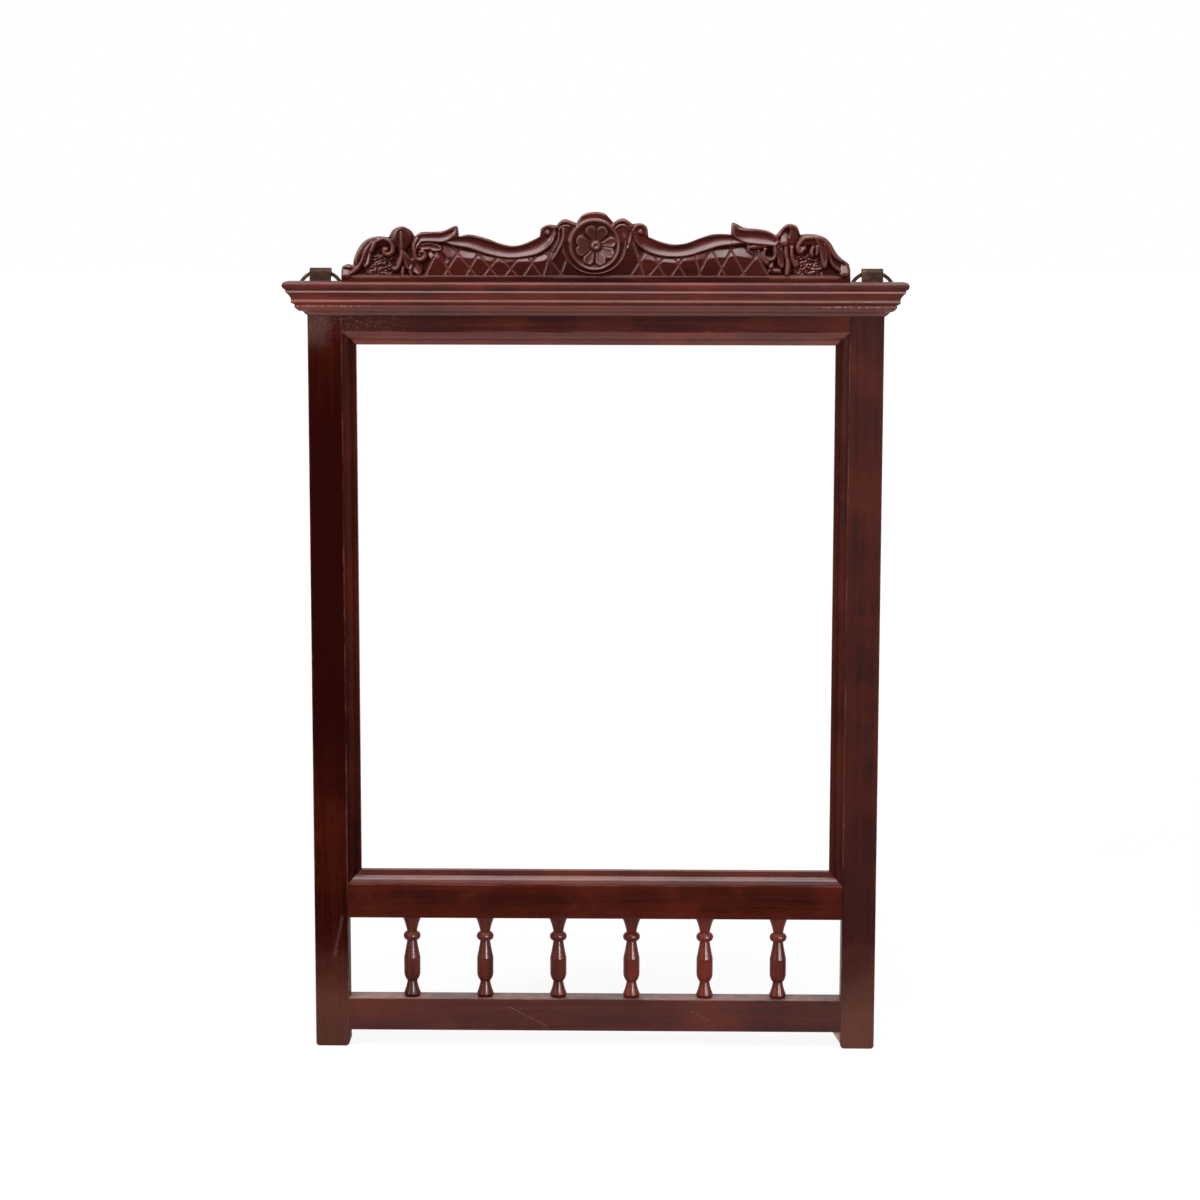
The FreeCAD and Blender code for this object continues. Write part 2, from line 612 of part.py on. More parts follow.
def lattice_field():
    """The low cushion between the plinth and the scroll, with a leaning end and crossing grooves."""
    height = MEDALLION_HEIGHT + MEDALLION_RADIUS
    end = [crest_at(0, 0), crest_at(FIELD_LENGTH, 0), crest_at(FIELD_LENGTH - height / LATTICE_RISE, height),
           crest_at(0, height)]
    field = crest_ground(FIELD_RELIEF).common(raised(polygon(end), FIELD_RELIEF))
    lift = Vector(0, -(CREST_GROUND + FIELD_RELIEF), 0)
    first = FIELD_LENGTH - LATTICE_LEVEL / LATTICE_RISE - LATTICE_END_GAP
    columns = int((first - MEDALLION_RADIUS) / LATTICE_PITCH) + 1
    across = Vector(GROOVE_WIDTH, 0, 0)
    down = (LATTICE_LEVEL - PLINTH_HEIGHT / 2) / LATTICE_RISE
    up = (height - LATTICE_LEVEL) / LATTICE_RISE
    grooves = []
    for i in range(-1, columns):
        crossing = crest_at(first - LATTICE_PITCH * i, LATTICE_LEVEL) - across / 2 + lift
        for way in (-1, 1):
            slope = Vector(way, 0, LATTICE_RISE)
            low = crossing - slope * down
            high = crossing + slope * up
            strip = face(polygon([low, low + across, high + across, high]))
            grooves.append(strip.extrude(Vector(0, GROOVE_DEPTH, 0)))
    return field.cut(grooves)


def crest_half():
    half = CREST_LENGTH / 2
    plinth = box(Vector(0, CREST_BACK - CREST_GROUND - PLINTH_RELIEF, FRAME_TOP),
                 Vector(half, CREST_BACK, FRAME_TOP + PLINTH_HEIGHT))
    scroll_end = line(crest_points(SCROLL_FOOT)[-1], crest_points(SCROLL_TOP)[0])
    scroll = raised([spline(crest_points(SCROLL_TOP)), spline(crest_points(VOLUTE_TOP)),
                     spline(crest_points(SCROLL_FOOT)), scroll_end], SCROLL_RELIEF)
    hump_points = crest_points(HUMP)
    hump = raised([spline(hump_points), line(hump_points[-1], hump_points[0])], LEAF_RELIEF)
    leaf = raised([spline(crest_points(LEAF_BACK)), spline(crest_points(LEAF_BELLY)),
                   line(crest_points(LEAF_BELLY)[-1], crest_at(half, LEAF_BELLY[-1][1])),
                   line(crest_at(half, LEAF_BELLY[-1][1]), crest_points(LEAF_BACK)[0])], LEAF_RELIEF)
    bulb = raised([spline(crest_points(BULB_TOP)), spline(crest_points(TASSEL))], BULB_RELIEF)
    tip = raised([spline(crest_points(TIP_TOP)), spline(crest_points(TIP_FOOT))], LEAF_RELIEF)
    return crest_ground(0).fuse([lattice_field(), plinth, scroll, hump, leaf, bulb, tip])


def petal(turn):
    """One rounded petal of the rosette, standing out of the dish."""
    centre = crest_at(0, MEDALLION_HEIGHT + (BUTTON_RADIUS + PETAL_LENGTH) / 2)
    shape = Part.Ellipse(centre, PETAL_LENGTH / 2, PETAL_WIDTH / 2).toShape()
    shape.rotate(centre, Vector(1, 0, 0), 90)
    shape.rotate(centre, Vector(0, 1, 0), 90)
    solid = raised([shape], PETAL_RELIEF)
    solid.rotate(crest_at(0, MEDALLION_HEIGHT), Vector(0, 1, 0), turn)
    return solid


def medallion():
    rim = raised_disc(MEDALLION_RADIUS, MEDALLION_RELIEF)
    lip = raised_disc(LIP_RADIUS, LIP_RELIEF)
    hollow = raised_disc(LIP_RADIUS - LIP_WIDTH, LIP_RELIEF).cut(raised_disc(LIP_RADIUS, DISH_RELIEF))
    petals = [petal(PETAL_TURN + 360.0 / PETAL_COUNT * i) for i in range(PETAL_COUNT)]
    button = raised_disc(BUTTON_RADIUS, BUTTON_RELIEF)
    return rim.fuse(lip).cut(hollow).fuse(petals + [button])


def crest_board():
    half = crest_half()
    opening = raised_disc(MEDALLION_RADIUS - LIP_WIDTH, 2 * LIP_RELIEF)
    board = half.fuse(mirrored(half)).cut(opening).fuse(medallion()).removeSplitter()
    return board.cut(dowels(DOWEL_CLEARANCE))


def dowels(clearance):
    """Upright dowels half in the crest and half in the top rail, or their holes where a clearance is added."""
    y = CREST_BACK - CREST_GROUND / 2
    half = DOWEL_LENGTH / 2 + clearance
    rods = []
    for x in spread(CREST_LENGTH / 2 - DOWEL_END_GAP, DOWEL_COUNT):
        low = Vector(x, y, FRAME_TOP - half)
        high = Vector(x, y, FRAME_TOP + half)
        rods.append(rod(DOWEL_RADIUS + clearance, low, high))
    return rods


def crest_dowels():
    return Part.makeCompound(dowels(0))


# Ring hangers: a strap folded round the ring and screwed to the stile
def hanger_screw_lines():
    seat = BACK + 2 * STRAP_THICKNESS
    lines = []
    for depth in HANGER_SCREW_DEPTHS:
        head = Vector(STRAP_X, seat, FRAME_TOP - depth)
        lines.append((head, head - Vector(0, HANGER_SCREW_LENGTH, 0)))
    return lines


def right_hanger_strap():
    low = Vector(STRAP_X - STRAP_WIDTH / 2, BACK, FRAME_TOP - STRAP_DROP)
    high = Vector(STRAP_X + STRAP_WIDTH / 2, BACK + 2 * STRAP_THICKNESS, KNUCKLE_Z)
    leaves = box(low, high)
    corners = [edge for edge in long_edges(leaves, Vector(0, 1, 0), STRAP_THICKNESS)
               if edge.CenterOfMass.z < FRAME_TOP]
    leaves = leaves.makeFillet(STRAP_CORNER, corners)
    axis_low = Vector(low.x, KNUCKLE_Y, KNUCKLE_Z)
    axis_high = Vector(high.x, KNUCKLE_Y, KNUCKLE_Z)
    strap = leaves.fuse(rod(KNUCKLE_RADIUS, axis_low, axis_high))
    cuts = [rod(KNUCKLE_BORE, axis_low, axis_high)]
    for start, end in hanger_screw_lines():
        cuts.append(rod(HANGER_SCREW_RADIUS + HANGER_SCREW_HOLE_CLEARANCE, start, end))
    return strap.cut(cuts).removeSplitter()


def right_hanger_screws():
    screws = []
    for start, end in hanger_screw_lines():
        back = start + Vector(0, HANGER_SCREW_HEAD_HEIGHT, 0)
        head = rod(HANGER_SCREW_HEAD_RADIUS, start, back)
        rim = [edge for edge in head.Edges if abs(edge.CenterOfMass.y - back.y) < SCREW_SLOT_DEPTH / 2]
        head = head.makeFillet(HANGER_SCREW_HEAD_HEIGHT / 2, rim)
        slot_low = back - Vector(HANGER_SCREW_HEAD_RADIUS, SCREW_SLOT_DEPTH, SCREW_SLOT_WIDTH / 2)
        slot_high = back + Vector(HANGER_SCREW_HEAD_RADIUS, SCREW_SLOT_DEPTH, SCREW_SLOT_WIDTH / 2)
        screws.append(head.fuse(rod(HANGER_SCREW_RADIUS, start, end)).cut(box(slot_low, slot_high)))
    return Part.makeCompound(screws)


def right_hanger_ring():
    centre = Vector(STRAP_X, KNUCKLE_Y, KNUCKLE_Z - RING_HANG)
    return Part.makeTorus(RING_RADIUS, RING_WIRE_RADIUS, centre, Vector(0, 1, 0))


def build():
    right_side = {
        "stile": right_stile(),
        "hanger_strap": right_hanger_strap(),
        "hanger_screws": right_hanger_screws(),
        "hanger_ring": right_hanger_ring(),
    }
    parts = {}
    for name, shape in right_side.items():
        parts["right_" + name] = shape
        parts["left_" + name] = mirrored(shape)
    parts["cornice_right_return"] = cornice_right_return()
    parts["cornice_left_return"] = mirrored(parts["cornice_right_return"])
    parts["cornice_front"] = cornice_front()
    parts["top_rail"] = top_rail()
    parts["middle_rail"] = middle_rail()
    parts["bottom_rail"] = bottom_rail()
    parts["right_foot_block"] = right_foot_block()
    for i, x in enumerate(spindle_places()):
        parts["spindle_" + str(i + 1)] = spindle(x)
    for side in ("top", "bottom", "left", "right"):
        parts["sight_moulding_" + side] = sight_moulding(side)
    parts["mirror_glass"] = bay_panel(GLASS_FRONT, BOARD_FRONT)
    parts["back_board"] = bay_panel(BOARD_FRONT, BOARD_BACK)
    parts["back_board_pins"] = back_board_pins()
    parts["crest_board"] = crest_board()
    parts["crest_dowels"] = crest_dowels()
    return parts


os.makedirs("parts", exist_ok=True)
for node, solid in build().items():
    solid.exportStep("parts/" + node + ".step")
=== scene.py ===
import math

import bpy
import numpy as np
from bpy.props import FloatProperty, FloatVectorProperty, IntProperty, PointerProperty
from mathutils import Matrix, Vector


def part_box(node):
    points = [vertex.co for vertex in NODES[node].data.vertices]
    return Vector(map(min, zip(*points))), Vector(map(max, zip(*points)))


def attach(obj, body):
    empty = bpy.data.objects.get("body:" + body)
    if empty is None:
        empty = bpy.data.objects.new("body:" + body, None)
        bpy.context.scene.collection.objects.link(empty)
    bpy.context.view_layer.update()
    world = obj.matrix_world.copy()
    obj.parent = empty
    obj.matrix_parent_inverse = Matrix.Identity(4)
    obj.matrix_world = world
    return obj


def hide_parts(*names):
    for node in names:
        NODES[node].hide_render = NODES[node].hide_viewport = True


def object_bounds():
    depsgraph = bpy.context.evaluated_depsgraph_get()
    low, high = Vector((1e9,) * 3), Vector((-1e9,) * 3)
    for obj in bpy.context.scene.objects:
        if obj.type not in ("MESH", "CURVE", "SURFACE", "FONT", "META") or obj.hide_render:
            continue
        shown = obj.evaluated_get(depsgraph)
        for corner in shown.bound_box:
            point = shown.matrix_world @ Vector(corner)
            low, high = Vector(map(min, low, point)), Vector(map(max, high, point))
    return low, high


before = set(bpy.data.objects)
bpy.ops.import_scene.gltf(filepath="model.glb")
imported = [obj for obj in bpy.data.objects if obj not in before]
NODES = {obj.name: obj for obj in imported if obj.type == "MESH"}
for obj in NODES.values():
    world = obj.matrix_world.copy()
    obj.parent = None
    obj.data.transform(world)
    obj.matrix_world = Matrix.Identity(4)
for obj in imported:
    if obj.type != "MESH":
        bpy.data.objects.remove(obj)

bl_info = {
    "name": "Carved wall mirror",
    "version": (1, 0, 0),
    "blender": (4, 5, 0),
    "location": "3D View > Sidebar > Mirror",
    "description": "Carves the crest of a mahogany wall mirror and finishes its pieces",
    "category": "Object",
}

SOLID_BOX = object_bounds()
CREST_LOW, CREST_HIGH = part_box("crest_board")
MM = 0.001
CREST_HEIGHT = (CREST_HIGH.z - CREST_LOW.z) / MM

# Carver's pattern: places are in millimetres from the crest's middle and above its foot.
# Outline from the left end to the right, as curves that meet at corners: (x, z)
OUTLINE = (
    ((-271.4, 12.5), (-270.8, 15.6), (-266, 18), (-262, 17.2), (-259, 17.8)),
    ((-259, 17.8), (-257.7, 26), (-253, 36), (-246, 43.5), (-235.5, 47.4), (-221, 46.8)),
    ((-221, 46.8), (-216.5, 54.4), (-207.4, 58.1), (-198, 53.6), (-194, 47.2)),
    ((-194, 47.2), (-187, 52.1), (-176.5, 52.5), (-163, 53.5), (-150.3, 58.9), (-147.2, 55), (-146.7, 47.7)),
    ((-146.7, 47.7), (-134.5, 49.7), (-117, 45.6), (-103, 40.4), (-89, 37.8), (-76.5, 40.2), (-59.5, 47.9)),
    ((-59.5, 47.9), (-58.5, 56), (-51, 60.3), (-42.2, 59.5)),
    ((-42.2, 59.5), (-37, 64.8), (-31.5, 66), (-20.6, 62.1)),
    ((-20.6, 62.1), (-16, 69), (-10, 72.6), (0, 73.9), (9, 72.4), (13.5, 68.4), (18.8, 62.6)),
    ((18.8, 62.6), (24, 66), (31, 66.9), (39.2, 61.2)),
    ((39.2, 61.2), (48.5, 61.8), (54.6, 57.5), (56.3, 47.4)),
    ((56.3, 47.4), (69.5, 42.4), (83.5, 39.6), (97, 41), (112, 46.5), (126, 50.5), (144.4, 50.5)),
    ((144.4, 50.5), (144.6, 58), (146.7, 63), (158.5, 57.4), (172, 56.2), (183.5, 54.2), (192.5, 49.4)),
    ((192.5, 49.4), (200.3, 58.4), (207.1, 61.6), (214, 59), (217.8, 50.1)),
    ((217.8, 50.1), (230, 50.7), (242, 48.4), (250, 41.8), (258, 29.2), (270, 19.2)),
    ((270, 19.2), (271.4, 14.2)),
)

# Foot of each scroll, where the lattice field ends
SCROLL_FOOT = (
    ((-169, 34.5), (-159.5, 40.2), (-144.5, 37.8), (-127.5, 33), (-107.5, 26.7), (-89, 25.1), (-72, 26.5),
     (-56, 30.6), (-46.5, 39), (-42.8, 45.5)),
    ((40.8, 46.6), (46, 36), (58, 29.5), (76, 26.3), (94, 27.8), (111, 32.7), (128, 37.6), (145, 39.6),
     (156, 39.4), (175, 32)),
)

# Carved forms in the order of cutting: profile, relief, then places along the form as (x, z, half width).
# A rib is rounded, a cup is hollow between two rims, a facet is pared into what lies under it,
# and a bore is a hole. A pair of reliefs leans along the form.
FORMS = (
    # Scrolls and their eyes
    ("cup", 9.6, ((-159.5, 44.7, 3.2), (-150, 43.2, 4.9), (-133, 42, 6.8), (-114, 36.4, 7.5),
                  (-96, 31.9, 6.6), (-82, 32, 6.5), (-65, 36.5, 7.6), (-54, 44.5, 8.1), (-50.5, 52, 8.2))),
    ("rib", 9, ((-51.2, 52, 2.9), (-50.5, 51.5, 2.9))),
    ("cup", 9.6, ((158, 45, 3.2), (148, 45, 4.9), (131, 44.5, 6.5), (114, 40.2, 7.5), (97, 34.5, 7),
                  (80, 33.2, 6.7), (63, 36.9, 7.6), (51.5, 44.5, 8), (47.8, 53.5, 8.2))),
    ("rib", 9, ((47.7, 53.1, 2.8), (48.3, 52.7, 2.8))),
    # Humps beside the medallion, with their fans and stems
    ("rib", 6.4, ((-31.5, 58, 9), (-34, 48, 8.5), (-38, 36.5, 6), (-42, 28.5, 3.2))),
    ("rib", 9.5, ((-40.8, 58.3, 1.6), (-37.4, 62.4, 1.8), (-31.5, 64, 2), (-24, 61.2, 1.7),
                  (-20, 58, 1.4))),
    ("rib", (8.8, 8.2), ((-38.5, 55.4, 1.7), (-34.5, 58.5, 2.1), (-30, 58.2, 2.3), (-25.5, 55.4, 1.8))),
    ("rib", 9.8, ((-34, 55.4, 1.6), (-34, 48.5, 1.7), (-36, 41, 1.7), (-41, 31.5, 1.3),
                  (-45.7, 23.7, 0.9))),
    ("rib", 8.2, ((-38.7, 54, 1.7), (-38.8, 46.4, 1.9), (-41.4, 38.6, 1.8), (-45.2, 33, 1.5))),
    ("rib", 7.8, ((-28.4, 54, 1.9), (-29.5, 46.4, 2.1), (-31, 30.6, 1.6))),
    ("rib", 6.4, ((29, 58.2, 9.1), (32.3, 46.5, 6.4))),
    ("rib", 9.5, ((19.5, 59.7, 1.5), (23, 63.3, 1.8), (29, 65, 2), (35, 62.6, 1.8), (37.8, 58.9, 1.5))),
    ("rib", 9, ((22.2, 56.6, 1.7), (26.4, 59.3, 2.2), (31.2, 59, 2.5), (35.5, 55.7, 1.9))),
    ("rib", (8.6, 6), ((30.7, 55, 6.9), (33, 46, 5.4), (33.2, 36, 1.9))),
    ("rib", 8.6, ((25.5, 55, 1.2), (28, 48, 1.3))),
    ("rib", 8.8, ((30.5, 56, 1.2), (31.5, 47, 1.4))),
    ("rib", 8.4, ((37.6, 56, 1.6), (38, 48.6, 1.6), (34.5, 35.4, 1.1))),
    # Left outer leaf: body, flutes, tail, curl and end block
    ("rib", 7, ((-222.5, 41.4, 4), (-231, 41.4, 5.4), (-240, 36.5, 6.4), (-247.5, 27.5, 6),
                (-254, 18.5, 4.8), (-264, 10.4, 3.7))),
    ("rib", 8.4, ((-222, 45.9, 1.7), (-234, 45.9, 2), (-244, 41.2, 2.1), (-251.5, 32.2, 2),
                  (-257.6, 20.8, 1.5))),
    ("rib", 8.6, ((-244, 38.6, 1.5), (-251, 29, 1.7), (-255.7, 19.4, 1.5))),
    ("rib", 9.8, ((-238.5, 41.4, 1.5), (-244.5, 33.3, 1.9), (-248.6, 24, 1.8), (-250.7, 18.5, 1.2))),
    ("rib", 10.2, ((-228.3, 44.8, 1.4), (-234.6, 41.8, 1.9), (-238, 36, 1.7), (-238.8, 32.7, 1.1))),
    ("cup", 9.4, ((-241, 33.5, 1.3), (-242.8, 27, 2.6), (-244.6, 20.5, 2.8), (-245.9, 16.2, 1.2))),
    ("rib", 9.2, ((-250.7, 19.4, 1.9), (-254.5, 14.2, 2.1), (-261, 9, 1.9), (-271.4, 4.8, 1.2))),
    ("rib", 10.2, ((-226.5, 45.9, 1.7), (-219, 42, 2.1), (-216.2, 35, 2.1), (-219, 29.6, 2),
                   (-224.4, 29.4, 1.7), (-225.5, 34.3, 1.4))),
    ("rib", 9.6, ((-223.4, 34.2, 2.2), (-222.9, 33.8, 2.2))),
    ("facet", (6.4, 10.2), ((-266.4, 14.6, 4.8), (-266.4, 7, 5))),
    ("rib", 9, ((-268, 15.8, 1.8), (-262.2, 15, 1.7))),
    # Left bulb with its seam, and the tassel under it
    ("facet", (4.2, 8.6), ((-195, 25, 5), (-191.5, 15.5, 6.4), (-189, 8.8, 2.6))),
    ("rib", (10.4, 7), ((-207.1, 57.4, 4.8), (-207.1, 53.3, 10.1), (-207.1, 46.5, 12.6), (-207, 40.5, 8.7),
                        (-206.8, 31.8, 3.4))),
    ("rib", (10.9, 9.6), ((-206.9, 52.4, 0.7), (-206.9, 44, 1.2), (-206.8, 35, 0.9))),
    ("rib", 8.8, ((-206.8, 32.3, 1.7), (-206.8, 28.2, 1.9))),
    ("rib", 9.2, ((-207.1, 28.2, 1.4), (-208, 22.4, 1.7), (-211, 15.6, 1.8), (-213.9, 12.9, 1.7),
                  (-215.4, 13.8, 1.2))),
    ("rib", 7.4, ((-208.3, 26.8, 1.1), (-212, 18.6, 1.2))),
    ("cup", 8.8, ((-204.6, 30, 1.5), (-201.8, 24, 3), (-199.3, 18, 3.8), (-198.6, 15.6, 3))),
    ("rib", 7.8, ((-205.6, 14, 1.4), (-206, 8.5, 1.9), (-203.7, 3.6, 1.1))),
    ("rib", 8.2, ((-194.9, 23.2, 1.7), (-191, 18, 2.6), (-189.2, 12.7, 1.9))),
    ("rib", 7.8, ((-198, 12.4, 1.5), (-197, 8, 1.9), (-195.5, 5.6, 1.2))),
    # Left inner leaf, its stem and curl, and the small leaves under it
    ("cup", 10.4, ((-192.4, 35, 2.3), (-191, 40.5, 3.4), (-186.4, 46, 4.3), (-176, 47, 4.8),
                   (-163, 47.3, 5.2), (-154, 51.4, 4.7), (-150.2, 55.7, 2.8))),
    ("rib", 10.4, ((-190, 45.2, 1.4), (-193.6, 38, 1.8), (-192.8, 30.5, 1.4))),
    ("rib", 9.8, ((-193.1, 30.5, 1.7), (-191, 24.4, 2), (-186, 23.3, 2.1), (-181.8, 27.5, 1.9),
                  (-184, 32, 1.6), (-187.5, 31, 1.3))),
    ("rib", 8.8, ((-187.4, 28, 2.2), (-186.6, 27.8, 2.2))),
    ("cup", 9.4, ((-186, 36.6, 2.8), (-178, 36.8, 3.8), (-171, 35.6, 3.6), (-166.8, 35, 2.6))),
    ("facet", (6, 8.4), ((-177.5, 31, 3), (-174.5, 26.5, 3))),
    ("cup", 8, ((-165.5, 30, 2.8), (-162, 25.5, 3.2), (-160, 22.8, 2.6))),
    # Right inner leaf, its curl with a bored eye, and the small leaves under it
    ("rib", 6, ((186.4, 12, 3.2), (196.2, 11, 3.4))),
    ("cup", 10.4, ((147.1, 59.9, 1.6), (150.2, 52.5, 4.5), (159, 48.8, 6.7), (172, 47.6, 7.6),
                   (184, 46, 6.9), (190.5, 43.3, 4.5))),
    ("rib", 8.8, ((165, 36.9, 1.9), (172, 37.5, 2.4), (180.2, 37.9, 1.9))),
    ("rib", 8.2, ((162.7, 39.9, 1.4), (163.2, 34, 1.5), (167, 30.4, 1.3))),
    ("facet", (6.4, 9.4), ((174, 32.6, 2.4), (178, 26, 2.9), (182.4, 20.8, 2.3))),
    ("rib", 9.4, ((180.7, 34.5, 1.7), (180.3, 29.6, 1.9), (184, 24.2, 2), (189.5, 25.4, 2),
                  (191.6, 32.6, 2), (190.9, 37.5, 1.7))),
    ("facet", (6, 8.6), ((188.5, 21, 2), (187, 16.5, 2.2))),
    ("bore", 1.2, ((185, 30.4, 2.6), (185.6, 29.9, 2.6))),
    # Right bulb with its rim and pared side, and the tassel under it
    ("rib", (10.2, 7.4), ((207, 60.9, 4.8), (206.5, 56, 9.5), (205.5, 49, 12), (204.8, 40.4, 9))),
    ("facet", (5.2, 10.8), ((202.8, 54.2, 3.6), (201.2, 48, 4.6), (200.4, 42.6, 4.2))),
    ("rib", 10.5, ((194.9, 49.2, 1.1), (200, 57.6, 1.3), (207.5, 60.4, 1.3), (213.5, 57, 1.3),
                   (215.5, 53.6, 1.1))),
    ("cup", 9, ((196.5, 37, 2.6), (196.5, 29.5, 3), (197.4, 21, 2.7), (198.3, 17.4, 1.9))),
    ("rib", 9.4, ((202.7, 37, 2.1), (203, 30.6, 2.3), (203.8, 25.3, 1.9))),
    ("rib", 9.8, ((204.5, 23.8, 1.7), (205, 17.5, 2.6), (203.9, 8.3, 1.3))),
    ("rib", 8.4, ((209.3, 36.5, 1.9), (208.8, 29.5, 2.1), (211, 20.6, 2.4), (212.7, 17, 1.5))),
    ("rib", 7.6, ((213.8, 21.9, 1.3), (215.1, 18.7, 1.5))),
    # Right outer leaf: body, flutes, curl, lobes and end block
    ("rib", 7, ((221.5, 41.4, 4.3), (231.3, 43.2, 5.3), (240.5, 37.2, 5.9), (249, 26, 5.6),
                (258.2, 16.1, 4.8), (265.1, 12.2, 4.3))),
    ("rib", 8.8, ((225.4, 48.3, 1.9), (238, 47.3, 2.2), (246.1, 41, 2.5), (254.1, 28.3, 2.1),
                  (266, 19.5, 1.6))),
    ("rib", 9, ((244.1, 39.5, 1.5), (249, 28.5, 1.7), (253, 18.6, 1.6), (263.2, 10.2, 1.3))),
    ("cup", 10.2, ((235.2, 46.3, 1.9), (240.4, 38.6, 3), (243.3, 27.5, 3.3), (243.9, 17.5, 1.7))),
    ("rib", 10.2, ((231.3, 47.3, 1.9), (222, 46.3, 2.1), (215.8, 39, 2.2), (217.4, 32, 2),
                   (222.1, 35.6, 1.5))),
    ("rib", 9.2, ((219.1, 35.6, 2.3), (219.6, 35.2, 2.3))),
    ("rib", 9, ((231.4, 36.6, 1.5), (230, 32.2, 1.9), (230.5, 28.7, 1.3))),
    ("rib", 9, ((235.8, 37.5, 1.5), (236, 33, 1.7), (235.4, 29.7, 1.3))),
    ("facet", (6.4, 10.2), ((264.8, 18, 3.8), (265.4, 9.6, 5))),
)

# Lattice grooves: where each starts at the plinth and where it ends at the scroll
GROOVES = (
    (-181, -169), (-161, -142.5), (-137.5, -124), (-118, -104), (-95, -82.5), (-75.5, -62.5), (-55.5, -45),
    (-37, -24), (-155.5, -168.5), (-129.5, -155.5), (-108, -128), (-86, -101.5), (-60, -72.5), (-37.5, -54),
    (38.5, 52.5), (58.5, 73.5), (82, 95), (110, 123.5), (131, 147.5), (156.5, 174.5), (51, 38),
    (72, 62.5), (94, 83.5), (111.5, 105), (137.5, 122.5), (158.5, 141.5), (183, 169),
)
GROOVE_FOOT = 9.7
GROOVE_HALF = 1.2
GROOVE_DEPTH = 1.1

# Punched grounds as spans of x and z, and the punch marks in each
STIPPLE = (((-245, -217), (4.5, 27)), ((210, 243), (6.5, 30)))
PUNCH_MARKS = 200

# Middles of the medallion and its rosette, and turns of the petals in degrees from upright
MEDALLION = (-1.0, 39.0)
ROSETTE = (0.2, 38.2)
PETAL_TURNS = (25, 78, 119, 161, 207, 251, 288, 341)
PETAL_REACH = 22.0
BUTTON_RADIUS = 5.4

# Radii of the medallion: its dish, the lip round it, the ring below and the hood above
DISH_RADIUS = 24.8
LIP_RADIUS = 26.1
LIP_END = 27.3
RING_RADIUS = 33.3
RING_END = 34.4
HOOD_END = 36.5

# Spacing of the grid of heights from which the carving is read, and seed of the punch marks
GRID_CELL = 0.4
PUNCH_SEED = 7

# Gap that keeps the floor clear of the feet, and its colour where it catches the light
FLOOR_GAP = 0.0004
FLOOR_COLOUR = (0.14, 0.14, 0.14, 1.0)
SENSOR_WIDTH = 36.0

# Lamps: name, start of the names of their settings, point they are aimed at, and width and height in metres
LAMPS = (
    ("softbox", "lamp", (0.0, 0.0, 0.70), (2.4, 1.2)),
    ("left_panel", "left", (0.0, 0.0, 0.85), (0.32, 1.7)),
    ("front_strip", "strip", (0.0, 0.0, 0.12), (0.13, 1.0)),
    ("side_panel", "fill", (0.1, 0.0, 0.45), (0.9, 1.3)),
)


def length_setting(name, description, default):
    """A length in metres that a user can change."""
    return FloatProperty(name=name, description=description, default=default, unit="LENGTH")


def colour_setting(name, description, default):
    """A colour that a user can change."""
    return FloatVectorProperty(name=name, description=description, default=default, subtype="COLOR")


def place_setting(name, description, default):
    """A place in metres that a user can change."""
    return FloatVectorProperty(name=name, description=description, default=default, subtype="TRANSLATION")


def power_setting(name, description, default):
    """The power of a lamp in watts."""
    return FloatProperty(name=name, description=description, default=default, unit="POWER")


class CrestCarving(bpy.types.PropertyGroup):
    """Sizes of the carving on the crest."""

    cell: length_setting("Cell", "Spacing of the carved surface's points", 0.00065)
    rows: IntProperty(name="Rows", description="Points from the crest's foot to its edge", default=100)
    relief: length_setting("Relief", "Height of the carving's front above its ground", 0.011)
    ground: length_setting("Ground", "Height of the sunk ground", 0.0025)
    wall_slope: FloatProperty(name="Wall slope", description="Fall of a form's side for each unit outwards",
                              default=2.6)
    softening: length_setting("Softening", "Reach of the rubbing that softens the cuts", 0.00042)
    edge_round: length_setting("Edge round", "Width of the rounding along the outline", 0.0015)


class WoodFinish(bpy.types.PropertyGroup):
    """Colours of the wood, the glass and the metal."""

    # Also the colour of painted shade in the carving's hollows, round the medallion, on the lower lattice
    # and on the cornice's nose
    heart_and_shade: colour_setting("Heart", "Dark streaks of the polished mahogany", (0.0150, 0.0013, 0.0008))
    body: colour_setting("Body", "Main colour of the polished mahogany", (0.0500, 0.0058, 0.0024))
    glow: colour_setting("Glow", "Lighter red clouds in the mahogany", (0.0880, 0.0125, 0.0060))
    worn: colour_setting("Worn edge", "Mahogany where the polish is rubbed away", (0.180, 0.0750, 0.0560))
    # Also painted sheen on faces turned up, and painted light on the cornice's lower members
    dust_and_sheen: colour_setting("Dust", "Grey bloom on ledges and in old polish", (0.240, 0.140, 0.122))
    # Painted highlight: pink colour on faces turned to the light
    painted_highlight: colour_setting("Bloom", "Pink bloom of old polish on lit faces", (0.270, 0.105, 0.100))
    # Partly wear and partly painted highlight lines along the cornice's arrises
    rubbed_arris_and_highlight: colour_setting("Cornice arris", "Rubbed arrises of the cornice", (0.235, 0.128, 0.116))
    dish: colour_setting("Dish", "Brown polish in the medallion's dish", (0.045, 0.016, 0.012))
    bare: colour_setting("Bare wood", "Bare wood of the glue block", (0.36, 0.25, 0.205))
    silver: colour_setting("Silver", "Colour of the mirror's reflection", (0.985, 0.990, 0.988))
    spots: colour_setting("Spots", "Aged spots along the edge of the mirror", (0.45, 0.40, 0.34))
    plywood: colour_setting("Back board", "Main colour of the back board", (0.250, 0.140, 0.066))
    peg: colour_setting("Dowel", "Colour of the dowels", (0.340, 0.215, 0.110))
    brass: colour_setting("Brass", "Brown skin of the aged brass", (0.076, 0.032, 0.021))
    bright_brass: colour_setting("Rubbed brass", "Brass where hands have rubbed it", (0.190, 0.105, 0.064))
    steel: colour_setting("Pins", "Colour of the steel pins", (0.300, 0.290, 0.280))
    rust: colour_setting("Rust", "Rust on the pins", (0.085, 0.036, 0.018))


